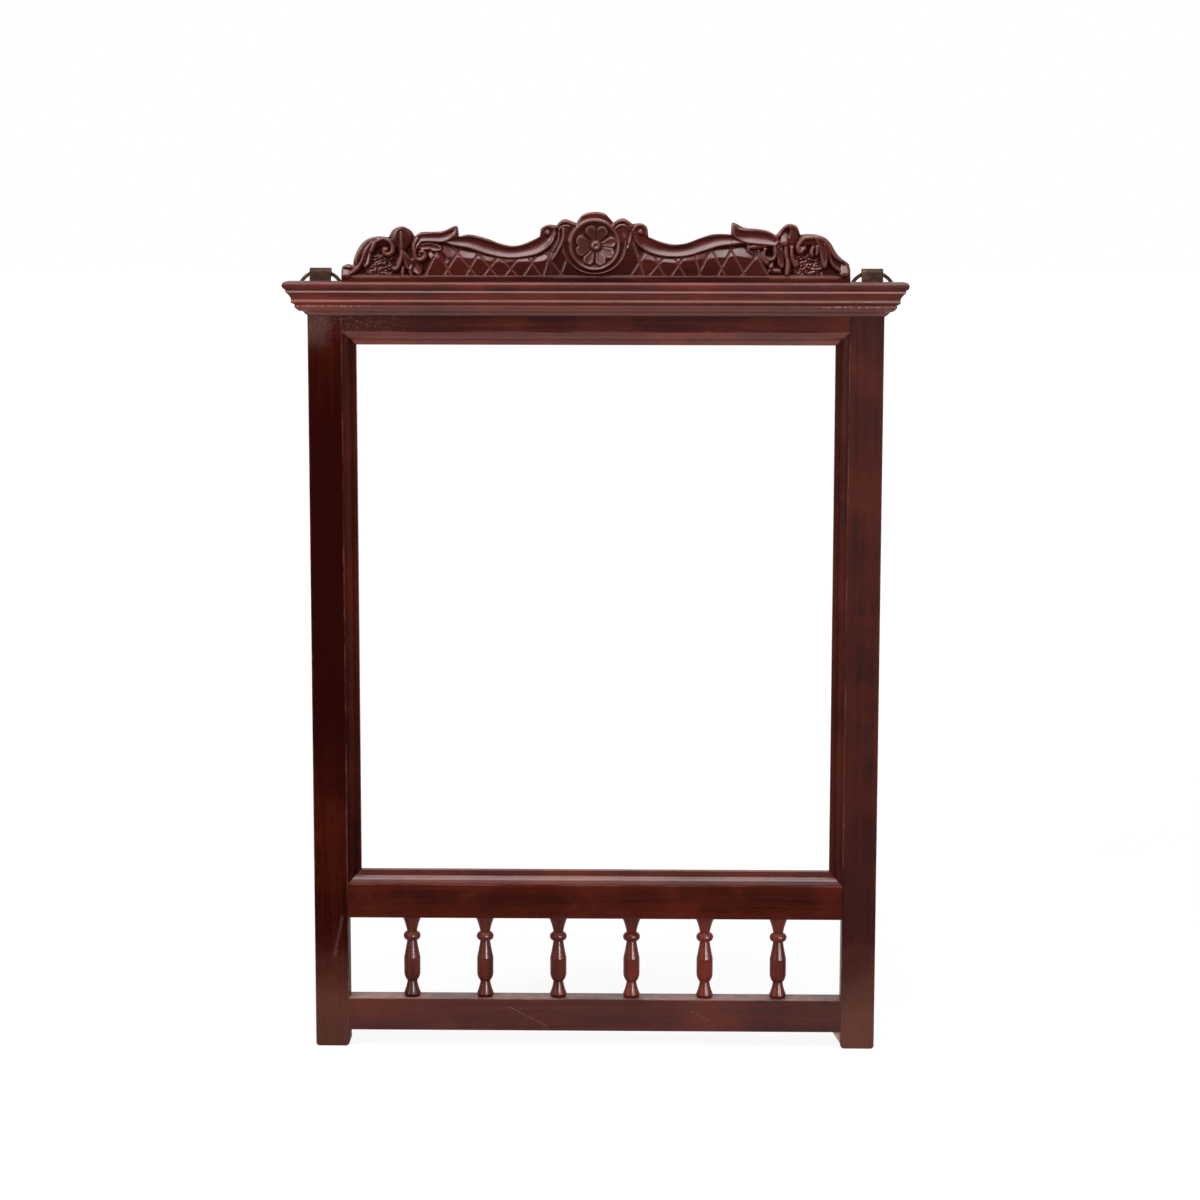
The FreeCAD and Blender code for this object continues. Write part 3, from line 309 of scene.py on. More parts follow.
class MirrorStage(bpy.types.PropertyGroup):
    """Floor, lamps and camera."""

    eye: place_setting("Eye", "Place of the camera", (0.0560, -3.1537, 0.9452))
    yaw: FloatProperty(name="Yaw", description="Turn of the camera to the right", subtype="ANGLE",
                       default=math.radians(-0.923))
    tilt: FloatProperty(name="Tilt", description="Lean of the camera down from level", subtype="ANGLE",
                        default=math.radians(8.063))
    roll: FloatProperty(name="Roll", description="Turn of the camera about its own line", subtype="ANGLE",
                        default=math.radians(0.083))
    lens: FloatProperty(name="Lens", description="Length of the lens in millimetres", default=88.212)
    lamp_place: place_setting("Lamp", "Place of the large lamp", (0.05, -0.85, 2.35))
    lamp_power: power_setting("Lamp power", "Power of the large lamp", 54.0)
    left_place: place_setting("Left panel", "Place of the tall panel on the left", (-1.75, -1.55, 1.30))
    left_power: power_setting("Left panel power", "Power of the tall panel on the left", 33.0)
    strip_place: place_setting("Strip", "Place of the narrow lamp in front", (0.95, -2.20, 0.75))
    strip_power: power_setting("Strip power", "Power of the narrow lamp in front", 9.0)
    fill_place: place_setting("Fill", "Place of the side panel", (1.75, -1.30, 0.75))
    fill_power: power_setting("Fill power", "Power of the side panel", 16.0)
    room_light: FloatProperty(name="Room light", description="Strength of the light from all round",
                              default=0.25)
    floor_light: FloatProperty(name="Floor light", description="Strength of the light from the floor",
                               default=0.54)
    floor_size: length_setting("Floor", "Side of the floor", 60.0)


class Wire:
    """An output of a node, on which arithmetic adds Math nodes."""

    def __init__(self, sheet, socket):
        self.sheet = sheet
        self.socket = socket

    def maths(self, operation, first, second):
        return self.sheet.add("ShaderNodeMath", {"operation": operation}, {0: first, 1: second})

    def __add__(self, other):
        return self.maths("ADD", self, other)

    def __radd__(self, other):
        return self.maths("ADD", other, self)

    def __sub__(self, other):
        return self.maths("SUBTRACT", self, other)

    def __rsub__(self, other):
        return self.maths("SUBTRACT", other, self)

    def __mul__(self, other):
        return self.maths("MULTIPLY", self, other)

    def __rmul__(self, other):
        return self.maths("MULTIPLY", other, self)

    def __abs__(self):
        return self.maths("ABSOLUTE", self, 0.0)


class Sheet:
    """A node tree that is filled from the start."""

    def __init__(self, tree):
        self.tree = tree
        tree.nodes.clear()

    def add(self, kind, settings, sockets, output=0):
        """Adds one node: its settings first, then the values or wires of its sockets."""
        node = self.tree.nodes.new(kind)
        for key, value in settings.items():
            setattr(node, key, value)
        for key, value in sockets.items():
            if isinstance(value, Wire):
                self.tree.links.new(value.socket, node.inputs[key])
            else:
                node.inputs[key].default_value = value
        return Wire(self, node.outputs[output]) if node.outputs else None

    def greater(self, first, second):
        return self.add("ShaderNodeMath", {"operation": "MAXIMUM"}, {0: first, 1: second})

    def step(self, value, low, high):
        """0 below low and 1 above high, or the other way round where low is the larger."""
        return self.add("ShaderNodeMapRange", {"interpolation_type": "SMOOTHSTEP"},
                        {"Value": value, "From Min": low, "From Max": high})

    def mix(self, factor, first, second):
        return self.add("ShaderNodeMix", {"data_type": "RGBA"}, {0: factor, 6: first, 7: second}, 2)

    def noise(self, place, scale, detail=3.0, roughness=0.55, distortion=0.0):
        return self.add("ShaderNodeTexNoise", {}, {"Vector": place, "Scale": scale, "Detail": detail,
                                                  "Roughness": roughness, "Distortion": distortion})

    def stretch(self, place, factors):
        return self.add("ShaderNodeVectorMath", {"operation": "MULTIPLY"}, {0: place, 1: factors})

    def shift(self, place, offset):
        return self.add("ShaderNodeVectorMath", {"operation": "ADD"}, {0: place, 1: offset})

    def part(self, vector, axis):
        return self.add("ShaderNodeSeparateXYZ", {}, {0: vector}, axis)

    def object_place(self):
        return self.add("ShaderNodeTexCoord", {}, {}, "Object")

    def attribute(self, name):
        return self.add("ShaderNodeAttribute", {"attribute_name": name}, {}, "Fac")

    def facing(self, axis):
        return self.part(self.add("ShaderNodeNewGeometry", {}, {}, "Normal"), axis)

    def front_side(self):
        """1 on surfaces turned to the front and 0 on the others."""
        return self.step(self.facing(1), -0.3, -0.7)

    def toward(self, way):
        """How far the surface faces one way, from -1 to 1."""
        normal = self.add("ShaderNodeNewGeometry", {}, {}, "Normal")
        return self.add("ShaderNodeVectorMath", {"operation": "DOT_PRODUCT"}, {0: normal, 1: way}, "Value")

    def dents(self, height, depth, rounding=0.0):
        """Small hollows and, where rounding is given, softened arrises."""
        sockets = {"Height": height, "Distance": depth, "Strength": 1.0}
        if rounding:
            sockets["Normal"] = self.add("ShaderNodeBevel", {"samples": 6}, {"Radius": rounding})
        return self.add("ShaderNodeBump", {}, sockets)

    def surface(self, sockets):
        shader = self.add("ShaderNodeBsdfPrincipled", {}, sockets)
        self.add("ShaderNodeOutputMaterial", {}, {"Surface": shader})


def new_finish(name):
    material = bpy.data.materials.new(name)
    material.use_nodes = True
    return material, Sheet(material.node_tree)


def opaque(colour):
    return (colour[0], colour[1], colour[2], 1.0)


def dress(piece, material):
    """Gives every slot of the piece the material."""
    if not piece.material_slots:
        piece.data.materials.append(material)
    for slot in piece.material_slots:
        slot.material = material


def arris_distance(sheet, place, node, axes):
    """Distance of a place on a straight member from its nearest long arris."""
    low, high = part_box(node)
    depths = []
    for axis in axes:
        middle = (low[axis] + high[axis]) / 2
        depths.append((high[axis] - low[axis]) / 2 - abs(sheet.part(place, axis) - middle))
    return sheet.greater(depths[0], depths[1])


def mahogany(name, colours, grain, seed, tone=1.0, specular=0.16, rounding=0.0009, worn=None, extra=None,
             polish=0.0, polished=None, depth=0.00018, lit=(0.0, 0.0, 1.0), catch=(0.02, 0.40), haze=0.22,
             shine=1.5, tint=(1.0, 1.0, 1.0), painted_highlight=0.0, dust_and_sheen=0.30):
    """Polished mahogany with its grain along one axis.

    worn gives the distance from an arris, and extra adds the marks of one member. Faces turned up get dust
    and a painted sheen.
    Where there is polish, the faces that look towards lit, as far as catch says, shine and get a pink
    painted highlight; polished keeps the shine and the painted highlight off the rest.
    """
    material, sheet = new_finish(name)
    place = sheet.object_place()
    board = sheet.shift(place, (0.37 * seed, 0.91 * seed, 0.53 * seed))

    def along(slow, fast):
        return sheet.stretch(board, tuple(slow if axis == grain else fast for axis in range(3)))

    streak = sheet.noise(along(3.0, 95.0), 1.0, 5.0, 0.6, 0.6)
    fibre = sheet.noise(along(22.0, 900.0), 1.0, 3.0, 0.6)
    cloud = sheet.noise(board, 11.0, 4.0, 0.6)
    mottle = sheet.noise(board, 75.0, 4.0, 0.65)
    pores = sheet.step(sheet.noise(along(55.0, 1700.0), 1.0, 1.0, 0.5), 0.60, 0.70)
    colour = sheet.mix(sheet.step(streak, 0.26, 0.68), opaque(colours.heart_and_shade), opaque(colours.body))
    colour = sheet.mix(sheet.step(cloud, 0.42, 0.72) * 0.55 + sheet.step(mottle, 0.52, 0.75) * 0.25,
                       colour, opaque(colours.glow))
    colour = sheet.mix(pores * 0.45, colour, opaque(colours.heart_and_shade))
    colour = sheet.stretch(colour, tuple(tone * share for share in tint))
    roughness = 0.30 + cloud * 0.12 + pores * 0.10
    height = fibre * 0.35 - pores * 0.6 + mottle * 0.5
    if extra:
        colour, roughness = extra(sheet, place, colour, roughness)
    if worn:
        rubbed = sheet.step(worn(sheet, place) + (mottle - 0.5) * 0.0040, 0.0016, 0.0002)
        rubbed = rubbed * sheet.step(cloud, 0.38, 0.58)
        colour = sheet.mix(rubbed * 0.36, colour, opaque(colours.worn))
        roughness = roughness + rubbed * 0.12
    # Dust on faces turned up, which also paints the sheen of the light from above
    ledge_dust_and_sheen = sheet.step(sheet.facing(2), 0.45, 0.9) * sheet.step(cloud + (mottle - 0.5) * 0.6, 0.25, 0.75)
    colour = sheet.mix(ledge_dust_and_sheen * dust_and_sheen, colour, opaque(colours.dust_and_sheen))
    roughness = roughness + ledge_dust_and_sheen * 0.16
    sockets = {"Roughness": roughness, "Specular IOR Level": specular,
               "Normal": sheet.dents(height, depth, rounding)}
    if polish:
        gloss_and_painted_highlight = sheet.step(sheet.toward(lit), catch[0], catch[1]) * sheet.step(sheet.facing(2), 0.98, 0.86)
        gloss_and_painted_highlight = gloss_and_painted_highlight * polished(sheet, place) if polished else gloss_and_painted_highlight
        # Painted highlight: faces turned to the light are painted pink
        colour = sheet.mix(gloss_and_painted_highlight * painted_highlight, colour, opaque(colours.painted_highlight))
        sockets["Coat Weight"] = gloss_and_painted_highlight * polish
        sockets["Coat Roughness"] = haze
        sockets["Coat IOR"] = shine
    sockets["Base Color"] = colour
    sheet.surface(sockets)
    return material


def smooth_curve(points, steps):
    """Places along a smooth curve through the points, with so many steps to each span."""
    p = np.asarray(points, float)
    p = np.vstack((2 * p[0] - p[1], p, 2 * p[-1] - p[-2]))
    t = np.arange(steps)[:, None] / steps
    spans = []
    for a, b, c, d in zip(p, p[1:], p[2:], p[3:]):
        bend = (2 * a - 5 * b + 4 * c - d) * t ** 2 + (3 * b - a - 3 * c + d) * t ** 3
        spans.append(b + 0.5 * ((c - a) * t + bend))
    return np.vstack(spans + [p[-2:-1]])


def height_over(pieces, x):
    """Height over each x of a line that is drawn as curves from left to right."""
    curve = np.vstack([smooth_curve(piece, 6) for piece in pieces])
    return np.interp(x, np.maximum.accumulate(curve[:, 0]), curve[:, 1])


def crest_edge(x):
    """Height of the crest's outline over each x."""
    return height_over(OUTLINE, x).clip(max=CREST_HEIGHT - 0.05)


def soften(field, reach):
    """Rubs a grid of heights over so many cells."""
    half = int(math.ceil(3 * reach))
    kernel = np.exp(-0.5 * (np.arange(-half, half + 1) / reach) ** 2)
    kernel = kernel / kernel.sum()
    for axis in (0, 1):
        rows = np.moveaxis(field, axis, 1)
        padded = np.pad(rows, ((0, 0), (half, half)), mode="edge")
        width = rows.shape[1]
        rows = sum(k * padded[:, i:i + width] for i, k in enumerate(kernel))
        field = np.moveaxis(rows, 1, axis)
    return field


def ramp(value, low, high):
    """A smooth rise from 0 at low to 1 at high."""
    t = ((value - low) / (high - low)).clip(0, 1)
    return t * t * (3 - 2 * t)


def form_places(curve, x, z):
    """Share of the half width, side (above is positive), half width and place along the form."""
    share = np.full(x.shape, np.inf)
    side, width, along = np.zeros(x.shape), np.ones(x.shape), np.zeros(x.shape)
    count = len(curve) - 1
    for i in range(count):
        (x0, z0, w0), (x1, z1, w1) = curve[i], curve[i + 1]
        dx, dz = x1 - x0, z1 - z0
        t = (((x - x0) * dx + (z - z0) * dz) / (dx * dx + dz * dz + 1e-9)).clip(0, 1)
        w = w0 + (w1 - w0) * t
        across_x, across_z = x - x0 - dx * t, z - z0 - dz * t
        u = np.hypot(across_x, across_z) / w
        nearer = u < share
        above = np.sign(dx * across_z - dz * across_x) * (1 if dx >= 0 else -1)
        share = np.where(nearer, u, share)
        side = np.where(nearer, above, side)
        width = np.where(nearer, w, width)
        along = np.where(nearer, (i + t) / count, along)
    return share, side, width, along


def cut_form(kind, relief, curve, x, z, under, wall_slope):
    """Heights after one form is cut over the heights that lie under it."""
    u, side, w, along = form_places(curve, x, z)
    inside = u.clip(0, 1)
    outside = (u - inside) * w
    if kind == "bore":
        return np.minimum(under, relief + 3.0 * outside)
    if isinstance(relief, tuple):
        relief = relief[0] + (relief[1] - relief[0]) * along
    if kind == "cup":
        trough = 0.42 * (1 - ramp(along, 0.72, 0.95)) * ramp(along, 0.0, 0.1)
        s = inside * side
        reach = np.where(s > trough, 1 - trough, 1 + trough)
        depth = np.minimum(0.62 * w, 4.4)
        face = relief - depth * (1 - ((s - trough) / reach) ** 2) - 1.1 * ramp(inside, 0.84, 1.0)
    elif kind == "facet":
        face = relief - 0.5 * inside ** 2 - 0.8 * ramp(inside, 0.7, 1.0)
    else:
        face = relief - np.minimum(w, 6.0) * (1 - np.sqrt(1 - inside ** 2))
    face = face - outside * wall_slope
    raised = np.maximum(under, face)
    return raised if kind == "rib" else np.where(u < 1, face, raised)


def lattice_height(x, z, foot):
    """Height of the lattice, which leans back under the scroll over an upright face, and its grooves."""
    along = x[:, :1]
    ridge = 10 + 0.42 * foot + 0.5 * np.sin(along / 7.3) + 0.3 * np.sin(along / 2.9 + 1)
    by_medallion = ramp(np.abs(along), 52, 44)
    over = z - ridge
    lean = (0.42 + 0.10 * np.sin(along / 11.0 + 1)) * (1 - 0.8 * by_medallion)
    height = 8.5 - 1.3 * by_medallion - np.where(over > 0, lean, -0.06) * over
    cut = np.zeros(x.shape)
    for start, end in GROOVES:
        dx = end - start
        dz = np.interp(end, along[:, 0], foot[:, 0]) - GROOVE_FOOT
        rise = z - GROOVE_FOOT
        t = (((x - start) * dx + rise * dz) / (dx * dx + dz * dz)).clip(-0.3, 1)
        off = np.hypot(x - start - t * dx, rise - t * dz)
        cut = np.maximum(cut, 1 - (off / GROOVE_HALF) ** 2)
        if (start, end) in (GROOVES[0], GROOVES[-1]):
            past = (start + rise * dx / dz - x) * -np.sign(start)
            height = height - 2.2 * past.clip(0, None)
    return np.where(z < foot, height - GROOVE_DEPTH * cut, 0), cut


def rosette_height(x, z):
    """Height of the petals and the button."""
    dx, dz = x - ROSETTE[0], z - ROSETTE[1]
    r = np.hypot(dx, dz)
    turn = np.arctan2(dx, dz)
    h = np.zeros(x.shape)
    for petal in PETAL_TURNS:
        lean = turn - math.radians(petal)
        out, aside = r * np.cos(lean), r * np.sin(lean)
        round_end = np.sqrt(1 - ((out - 15.8) / 6.2).clip(0, 1) ** 2)
        half = (0.414 * out - 0.30).clip(0.01, 6.6) * round_end + 1e-6
        b = np.abs(aside) / half
        leaf = 2.6 + 0.32 * out + 1.3 * b ** 2 - 2.6 * ramp(b, 0.82, 1.0)
        h = np.maximum(h, np.where((out > 3.5) & (out < PETAL_REACH) & (b < 1.0), leaf, 0))
    dimple = 2.2 * (1 - (r / 2.4) ** 2).clip(0, 1)
    button = 6.9 + 2.6 * np.sqrt((1 - (r / BUTTON_RADIUS) ** 2).clip(0, 1)) - dimple
    return np.where(r < BUTTON_RADIUS, np.maximum(h, button), h)


def cut_medallion(x, z, under):
    """Heights after the medallion is cut: dish and rosette, lip, hood above and ring below."""
    dx, dz = x - MEDALLION[0], z - MEDALLION[1]
    r = np.hypot(dx, dz)
    flat = np.hypot(dx, np.where(dz < 0, 1.09 * dz, dz))
    above = dz > 0.08 * r
    dish = 3.9 + 6.0 * (r / DISH_RADIUS).clip(0, 1) ** 8
    h = np.maximum(dish, rosette_height(x, z))
    h = np.maximum(h, 10.4 - 1.6 * ((r - LIP_RADIUS) / 0.85) ** 2)
    hood = 8.2 - 0.12 * (r - 27.2) + 0.8 * np.exp(-((r - 33.4) / 0.6) ** 2)
    ring = np.maximum(8.9 - 1.5 * (flat - RING_RADIUS) ** 2, 6.4)
    h = np.where(r < LIP_END, h, np.where(above, np.where(r < HOOD_END, hood, 0), ring))
    cut = np.where(above, r < LIP_END, flat < RING_END)
    return np.where(cut, h, np.where(above, np.maximum(under, h), under))


def grid_block(xs, zs, low, high, reach):
    """Part of the grid between two corners, widened by the reach."""
    return (slice(*np.searchsorted(xs, (low[0] - reach, high[0] + reach))),
            slice(*np.searchsorted(zs, (low[1] - reach, high[1] + reach))))


def crest_relief(carving):
    """Grid of the carving over the crest, in millimetres: x, z, heights, hollowness and lattice grooves."""
    half = CREST_HIGH.x / MM
    xs = np.arange(-half, half + GRID_CELL, GRID_CELL)
    zs = np.arange(0, CREST_HEIGHT + GRID_CELL, GRID_CELL)
    x, z = np.meshgrid(xs, zs, indexing="ij")
    h = np.full(x.shape, carving.ground / MM)

    # Punched ground behind the tassels
    dice = np.random.default_rng(PUNCH_SEED)
    for (x0, x1), (z0, z1) in STIPPLE:
        for _ in range(PUNCH_MARKS):
            px, pz, size = dice.uniform(x0, x1), dice.uniform(z0, z1), dice.uniform(0.9, 1.4)
            block = grid_block(xs, zs, (px, pz), (px, pz), 3)
            spot = 2.6 * np.exp(-((x[block] - px) ** 2 + (z[block] - pz) ** 2) / size ** 2)
            h[block] = np.maximum(h[block], carving.ground / MM + spot)

    # Lattice field and the plinth along the foot
    field, cut = lattice_height(x, z, height_over(SCROLL_FOOT, xs)[:, None])
    h = np.maximum(h, field)
    plinth = 8.8 - 2.2 * ((z - 5.5) / 0.6).clip(0, 1) - 3.0 * (z - 6.1).clip(0, None)
    h = np.maximum(h, plinth)

    # Scrolls, humps, leaves, bulbs and tassels
    for kind, relief, points in FORMS:
        curve = smooth_curve(points, 6)
        block = grid_block(xs, zs, curve.min(axis=0), curve.max(axis=0), curve[:, 2].max() + 5)
        h[block] = cut_form(kind, relief, curve, x[block], z[block], h[block], carving.wall_slope)
    h = cut_medallion(x, z, h)
    groove = np.where(h == field, cut, 0)

    # Rounding along the outline
    edge = crest_edge(xs)
    near = np.full(x.shape, 99.0)
    for offset in range(-8, 9):
        aside = offset * GRID_CELL
        moved = np.interp(xs + aside, xs, edge)
        near = np.minimum(near, np.hypot(aside, (moved[:, None] - z).clip(0, None)))
    width = carving.edge_round / MM
    h = h - 1.2 * ((1 - near / width).clip(0, 1)) ** 2
    h = soften(h, carving.softening / MM / GRID_CELL).clip(0.4, carving.relief / MM - 0.02)
    return xs, zs, h, soften(h, 2.6 / GRID_CELL) - h, groove


def read_grid(xs, zs, field, x, z):
    """Heights of the grid between its points."""
    step = xs[1] - xs[0]
    i = ((x - xs[0]) / step).clip(0, len(xs) - 1.001)
    j = ((z - zs[0]) / step).clip(0, len(zs) - 1.001)
    i0, j0 = i.astype(int), j.astype(int)
    s, t = i - i0, j - j0
    low = field[i0, j0] * (1 - s) + field[i0 + 1, j0] * s
    high = field[i0, j0 + 1] * (1 - s) + field[i0 + 1, j0 + 1] * s
    return low * (1 - t) + high * t


def crest_columns(carving):
    """Places of the mesh across the crest, with a close pair at each corner of the outline."""
    half = CREST_HIGH.x / MM
    corners = [piece[0][0] for piece in OUTLINE[1:]]
    cols = np.concatenate([np.arange(-half, half, carving.cell / MM), [half - 0.02]]
                          + [[c - 0.06, c + 0.06] for c in corners])
    cols = np.unique(cols.round(3))
    return cols[np.concatenate(([True], np.diff(cols) > 0.04))]


def crest_faces(count, rows):
    """Faces of the carved front and of the edge, back, foot and ends that close it."""
    grid = np.arange(count * rows).reshape(count, rows)
    tops = count * rows + np.arange(count)
    feet = tops + count
    a, b, c, d = grid[:-1, :-1], grid[1:, :-1], grid[1:, 1:], grid[:-1, 1:]
    faces = np.stack((a, b, c, d), axis=-1).reshape(-1, 4).tolist()
    faces += np.stack((grid[:-1, -1], grid[1:, -1], tops[1:], tops[:-1]), axis=-1).tolist()
    faces += np.stack((tops[:-1], tops[1:], feet[1:], feet[:-1]), axis=-1).tolist()
    faces += np.stack((feet[:-1], feet[1:], grid[1:, 0], grid[:-1, 0]), axis=-1).tolist()
    faces.append(grid[0, :].tolist() + [int(tops[0]), int(feet[0])])
    faces.append(grid[-1, ::-1].tolist() + [int(feet[-1]), int(tops[-1])])
    return faces


def crest_mesh(carving):
    """Closed mesh of the carved crest in the place of its board."""
    xs, zs, heights, hollow, groove = crest_relief(carving)
    cols = crest_columns(carving)

    # Rows follow the softened lowest edge near each place, and the last of them close up to the outline
    edge = crest_edge(cols)
    reach = np.arange(-6.0, 6.1, 0.5)
    lowest = crest_edge(xs[:, None] + reach).min(axis=1)
    level = np.interp(cols, xs, soften(lowest[:, None], 2.0 / (xs[1] - xs[0]))[:, 0])
    share = np.linspace(0, 1, carving.rows)
    x = np.repeat(cols[:, None], carving.rows, 1)
    z = level[:, None] * share + (edge - level)[:, None] * share ** 6
    h = read_grid(xs, zs, heights, x, z)
    relief = carving.relief / MM
    front = np.stack((x * MM, CREST_LOW.y + (relief - h) * MM, CREST_LOW.z + z * MM), axis=-1)
    count, rows = x.shape
    back_top = np.stack((cols * MM, np.full(count, CREST_HIGH.y), CREST_LOW.z + edge * MM), axis=-1)
    back_foot = back_top.copy()
    back_foot[:, 2] = CREST_LOW.z
    points = np.concatenate((front.reshape(-1, 3), back_top, back_foot))
    faces = crest_faces(count, rows)
    mesh = bpy.data.meshes.new("carved_crest")
    mesh.from_pydata(points.tolist(), [], faces)
    mesh.polygons.foreach_set("use_smooth", [True] * len(faces))
    mesh.set_sharp_from_angle(angle=math.radians(62))
    marks = {"hollow": read_grid(xs, zs, hollow, x, z), "groove": read_grid(xs, zs, groove, x, z),
             "carved_front": np.tile(share < 1, (count, 1))}
    for name, field in marks.items():
        attribute = mesh.attributes.new(name, "FLOAT", "POINT")
        attribute.data.foreach_set("value", np.concatenate((field.ravel(), np.zeros(2 * count))))
    mesh.validate()
    mesh.update()
    return mesh


def carved_mahogany(name, colours):
    """Carved mahogany: dark in the hollows as grime and painted shade, rubbed on the crowns."""
    def marks(sheet, place, colour, roughness):
        sunk = sheet.attribute("hollow")
        line = sheet.step(sheet.attribute("groove"), 0.0, 0.5)
        # Hollows: grime and painted shade
        hollow_grime_and_shade = sheet.step(sunk, 0.1, 1.3) * (1.0 - line)
        crown = sheet.step(sunk, -0.35, -1.3)

        # Distance from the medallion's middle, with a painted shade in a ring outside it
        middle = (-MEDALLION[0] * MM, 0.0, -CREST_LOW.z - MEDALLION[1] * MM)
        across = sheet.stretch(sheet.shift(place, middle), (1.0, 0.0, 1.0))
        away = sheet.add("ShaderNodeVectorMath", {"operation": "LENGTH"}, {0: across}, "Value")
        lower = sheet.step(sheet.part(place, 2), CREST_LOW.z + 0.050, CREST_LOW.z + 0.040)
        face = sheet.attribute("carved_front")
        medallion_ring_shade = sheet.step(away, 0.058, 0.046) * sheet.step(away, 0.0337, 0.0345) * lower * face

        # Hollows dark with grime and painted shade, painted shade round the medallion and on the lower
        # lattice field, a brown dish, and rubbed crowns and lattice lines
        lattice = sheet.step(abs(sheet.part(place, 0)), 0.192, 0.178)
        # Painted shade on the lower lattice field
        field = lattice * sheet.step(sheet.part(place, 2), CREST_LOW.z + 0.028, CREST_LOW.z + 0.012)
        colour = sheet.mix(sheet.greater(hollow_grime_and_shade * 0.75, medallion_ring_shade * 0.75), colour, opaque(colours.heart_and_shade))
        colour = sheet.mix(field * face * (1.0 - line) * 0.30, colour, opaque(colours.heart_and_shade))
        brown = sheet.step(away, 0.0255, 0.0240) * face * 0.45
        colour = sheet.mix(brown, colour, opaque(colours.dish))
        colour = sheet.mix(sheet.greater(crown * 0.30, line * 0.24), colour, opaque(colours.worn))
        return colour, roughness + hollow_grime_and_shade * 0.15

    def front(sheet, place):
        face = sheet.attribute("carved_front") * sheet.step(sheet.attribute("groove"), 0.4, 0.0)
        sunk = sheet.attribute("hollow")
        above = sheet.step(sheet.part(place, 2), CREST_LOW.z + 0.0056, CREST_LOW.z + 0.0068)
        return face * above * sheet.step(sunk, 1.2, 0.2)

    # Faces of the carving turned to the light get a pink painted highlight
    return mahogany(name, colours, 0, 3, tone=0.84, specular=0.055, rounding=0.0, extra=marks, polish=0.50,
                    polished=front, depth=0.00007, lit=(-0.62, 0.0, 0.785), catch=(0.05, 0.42), haze=0.20,
                    shine=1.68, tint=(1.02, 1.05, 1.5), painted_highlight=0.20)


def scratch(sheet, place, start, end, width):
    """A broken scratch on the front between two places (x, z)."""
    dx, dz = end[0] - start[0], end[1] - start[1]
    length = math.hypot(dx, dz)
    x, z = sheet.part(place, 0) - start[0], sheet.part(place, 2) - start[1]
    along = x * (dx / length) + z * (dz / length)
    across = abs(x * (dz / length) - z * (dx / length))
    line = sheet.step(across, width, 0.4 * width) * sheet.step(along, 0.0, 0.004)
    broken = sheet.step(sheet.noise(place, 620.0, 2.0, 0.6), 0.40, 0.58)
    return line * sheet.step(along, length, length - 0.004) * broken * sheet.front_side()


def stile_marks(colours, dark, span, foot):
    """Marks of one stile: darker over a span of its height, a painted grey sheen near the top of the left
    stile, and a scuffed foot.
    """
    def marks(sheet, place, colour, roughness):
        height = sheet.part(place, 2) + (sheet.noise(place, 16.0, 4.0, 0.6) - 0.5) * 0.12
        low, high = span
        fade = 0.06
        shade = sheet.step(height, low - fade, low + fade) * sheet.step(height, high + fade, high - fade)
        scuff = sheet.step(height, 0.13, 0.02)
        colour = sheet.mix(shade * dark, colour, opaque(colours.heart_and_shade))
        colour = sheet.mix(scuff * foot, colour, opaque(colours.worn))
        rubs = scratch(sheet, place, (-0.277, 0.149), (-0.287, 0.100), 0.0024)
        colour = sheet.mix(rubs * 0.16 + speckle(sheet, place) * 0.22, colour, opaque(colours.dust_and_sheen))
        # Painted sheen: a grey patch near the top of the left stile
        painted_sheen = sheet.step(height, 0.770, 0.815) * sheet.step(sheet.part(place, 0), -0.272, -0.296)
        colour = sheet.mix(painted_sheen * 0.20, colour, opaque(colours.dust_and_sheen))
        return colour, roughness + scuff * 0.12
    return marks


def speckle(sheet, place):
    """Grey specks in the old polish under the cornice's left end."""
    spots = sheet.step(sheet.noise(place, 330.0, 3.0, 0.65), 0.50, 0.64)
    under = sheet.step(sheet.part(place, 2), 0.778, 0.808)
    return spots * under * sheet.step(sheet.part(place, 0), -0.16, -0.27) * sheet.front_side()


def top_rail_marks(colours):
    """Darker and speckled towards the left end of the top rail."""
    def marks(sheet, place, colour, roughness):
        shade = sheet.step(sheet.part(place, 0), -0.05, -0.25)
        colour = sheet.mix(shade * 0.62, colour, opaque(colours.heart_and_shade))
        colour = sheet.mix(speckle(sheet, place) * 0.30, colour, opaque(colours.dust_and_sheen))
        return colour, roughness
    return marks


def bottom_rail_marks(colours):
    """Scratches across the bottom rail."""
    def marks(sheet, place, colour, roughness):
        long_one = scratch(sheet, place, (-0.096, 0.0465), (-0.050, 0.0225), 0.0008)
        short_one = scratch(sheet, place, (0.105, 0.0430), (0.128, 0.0300), 0.0007)
        colour = sheet.mix(sheet.greater(long_one, short_one) * 0.35, colour, opaque(colours.dust_and_sheen))
        return colour, roughness
    return marks


def block_marks(colours):
    """Bare, dusty wood of the glue block."""
    def marks(sheet, place, colour, roughness):
        return sheet.mix(0.80, colour, opaque(colours.bare)), roughness + 0.2
    return marks


